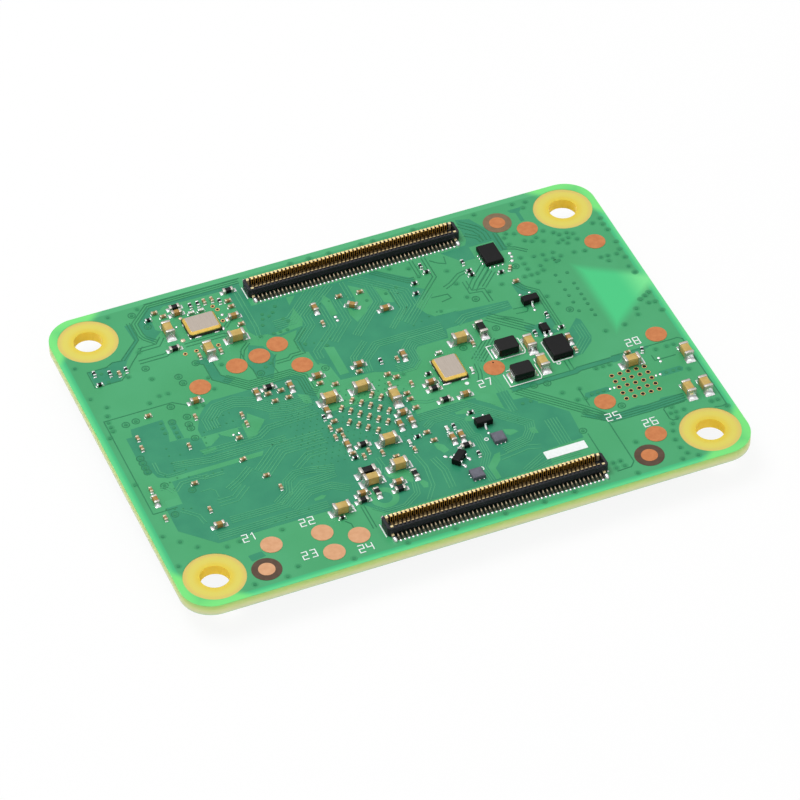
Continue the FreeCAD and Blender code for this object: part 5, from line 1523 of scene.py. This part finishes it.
def rim_places(node, step, margin):
    """Places along the four sides of a node, each with its outward turn."""
    left, near, right, far = flat_box(node)
    places = []
    for start, end, level, turns, along_x in (
        (left, right, near, -90.0, True),
        (left, right, far, 90.0, True),
        (near, far, left, 180.0, False),
        (near, far, right, 0.0, False),
    ):
        count = int((end - start - 2 * margin) / step) + 1
        first = (start + end) / 2 - (count - 1) / 2 * step
        for here in [first + index * step for index in range(count)]:
            x, y = (here, level) if along_x else (level, here)
            places.append(Place(x, y, turns, True))
    return places


def make_under_print():
    """A mark outside each corner of the larger chips, and a dot by their first pin."""
    white = Shape()
    for node in OUTLINED:
        left, near, right, far = flat_box(node)
        for x, y, side_x, side_y in (
            (left, near, -1, -1),
            (right, near, 1, -1),
            (right, far, 1, 1),
            (left, far, -1, 1),
        ):
            corner_x = x + side_x * OUTLINE_GAP
            corner_y = y + side_y * OUTLINE_GAP
            before = (corner_x - side_x * OUTLINE_REACH, corner_y)
            after = (corner_x, corner_y - side_y * OUTLINE_REACH)
            ribbon(white, [before, (corner_x, corner_y), after], PRINT_WIDTH, 0.0, PRINT_TOP, UNDERSIDE)
        dot = circle(left - 2 * OUTLINE_GAP, far, PIN_DOT_RADIUS, PIN_DOT_CORNERS)
        prism(white, dot, 0.0, PRINT_TOP, UNDERSIDE)
    white.make("underside_print", PRINT_WHITE)


def make_under_copper():
    """Pins, solder along the shield, tracks and vias on the hidden face."""
    solder = Shape()
    for node, step, margin, drop in RIM_SOLDER:
        for place in rim_places(node, step, margin):
            dome(solder, place, *drop)
    solder.make("underside_solder", TIN)
    pattern = Shape()
    tracks(pattern, UNDER_TRACKS, GAP_WIDTH, GAP_TOP, UNDERSIDE)
    pattern.make("underside_tracks", GAP_DARK)
    vias = Shape()
    dots(vias, row_places(UNDER_VIA_ROWS), VIA_RADIUS, VIA_CORNERS, UNDERSIDE)
    vias.make("underside_vias", VIA_GREEN)


# Studio. The camera's place, lens and sensor are in millimetres and its turn is in degrees. The other
# lengths here are in metres.

CAMERA_PLACE = (-116.37, -288.59, 291.76)
CAMERA_TURN = (46.657, 0.454, -22.457)
CAMERA_LENS = 209.72
CAMERA_NEAR = 0.01
CAMERA_FAR = 20.0
SENSOR_WIDTH = 36.0
FLOOR_SIZE = 3.0
FLOOR_DROP = 0.02 * MILLIMETRE
WORLD_LIGHT = 0.5
SKY_SHINE = 1.0
SKY_HEIGHT = 0.75
HORIZON_SHINE = 0.35
HORIZON_HEIGHT = 0.1
# Lamps: a name, a place, a size and a power
LAMPS = [
    ("key_light", (-0.2, 0.22, 0.66), 0.42, 3.4),
    ("front_light", (0.1, -0.6, 0.42), 0.5, 0.6),
]


def put_in_scene(name, data):
    """A new object in the scene."""
    thing = bpy.data.objects.new(name, data)
    bpy.context.scene.collection.objects.link(thing)
    return thing


def make_camera():
    """The camera, at the photograph's own angle and framing."""
    camera = put_in_scene("camera", bpy.data.cameras.new("camera"))
    camera.data.sensor_width = SENSOR_WIDTH
    camera.data.lens = CAMERA_LENS
    camera.data.clip_start = CAMERA_NEAR
    camera.data.clip_end = CAMERA_FAR
    camera.location = [value * MILLIMETRE for value in CAMERA_PLACE]
    camera.rotation_euler = [math.radians(value) for value in CAMERA_TURN]
    bpy.context.scene.camera = camera


def make_lamps():
    """Two soft lamps that face the board."""
    for name, place, size, power in LAMPS:
        data = bpy.data.lights.new(name, "AREA")
        data.size = size
        data.energy = power
        lamp = put_in_scene(name, data)
        lamp.location = place
        lamp.rotation_euler = (-Vector(place)).to_track_quat("-Z", "Y").to_euler()


def make_world():
    """Even light all round. The camera sees white, and metal sees a sky that dims toward the horizon."""
    world = bpy.data.worlds.new("studio")
    bpy.context.scene.world = world
    world.use_nodes = True
    tree = world.node_tree
    dim = tree.nodes["Background"]
    feed(tree, dim.inputs["Color"], WHITE)
    feed(tree, dim.inputs["Strength"], WORLD_LIGHT)
    direction = tree.nodes.new("ShaderNodeTexCoord").outputs["Generated"]
    split = add_node(tree, "ShaderNodeSeparateXYZ", {"Vector": direction})
    sky = {"From Min": HORIZON_HEIGHT, "From Max": SKY_HEIGHT, "To Min": HORIZON_SHINE, "To Max": SKY_SHINE}
    shine = add_node(tree, "ShaderNodeMapRange", {**sky, "Value": split.outputs["Z"]})
    mirrored = add_node(tree, "ShaderNodeBackground", {"Color": WHITE, "Strength": shine.outputs["Result"]})
    white = add_node(tree, "ShaderNodeBackground", {"Color": WHITE})
    path = tree.nodes.new("ShaderNodeLightPath")
    seen = dim.outputs["Background"]
    for ray, background in (("Is Glossy Ray", mirrored), ("Is Camera Ray", white)):
        layers = {"Fac": path.outputs[ray], 1: seen, 2: background.outputs["Background"]}
        seen = add_node(tree, "ShaderNodeMixShader", layers).outputs["Shader"]
    feed(tree, tree.nodes["World Output"].inputs["Surface"], seen)


def make_floor():
    """A plain white floor just under the object."""
    level = frame_box[0].z - FLOOR_DROP
    half = FLOOR_SIZE / 2
    mesh = bpy.data.meshes.new("floor")
    corners = ((-half, -half, level), (half, -half, level), (half, half, level), (-half, half, level))
    mesh.from_pydata(corners, [], [(0, 1, 2, 3)])
    mesh.materials.append(floor_finish())
    floor = put_in_scene("floor", mesh)


make_board()
make_fields()
make_tracks()
make_vias()
make_plated_holes()
make_test_pads()
make_print()
make_drops()
make_strap_solder("inductor_straps", "inductor_solder")
make_strap_solder("underside_inductor_straps", "underside_inductor_solder")
make_under_print()
make_under_copper()
for connector_row, connector_name in ((FAR_ROW, "far_connector"), (NEAR_ROW, "near_connector")):
    dress_feet(connector_row, connector_name)
    dress_channel(connector_row, connector_name)
for chip_kind in CHIP_KINDS:
    make_chips(*chip_kind)
for kept_finish, kept_edge, kept_steps, kept_nodes in KEPT_NODES:
    for kept_node in kept_nodes:
        dress(kept_node, kept_finish, kept_edge, kept_steps)
make_camera()
make_lamps()
make_world()
make_floor()
bpy.context.scene.view_settings.view_transform = "Standard"
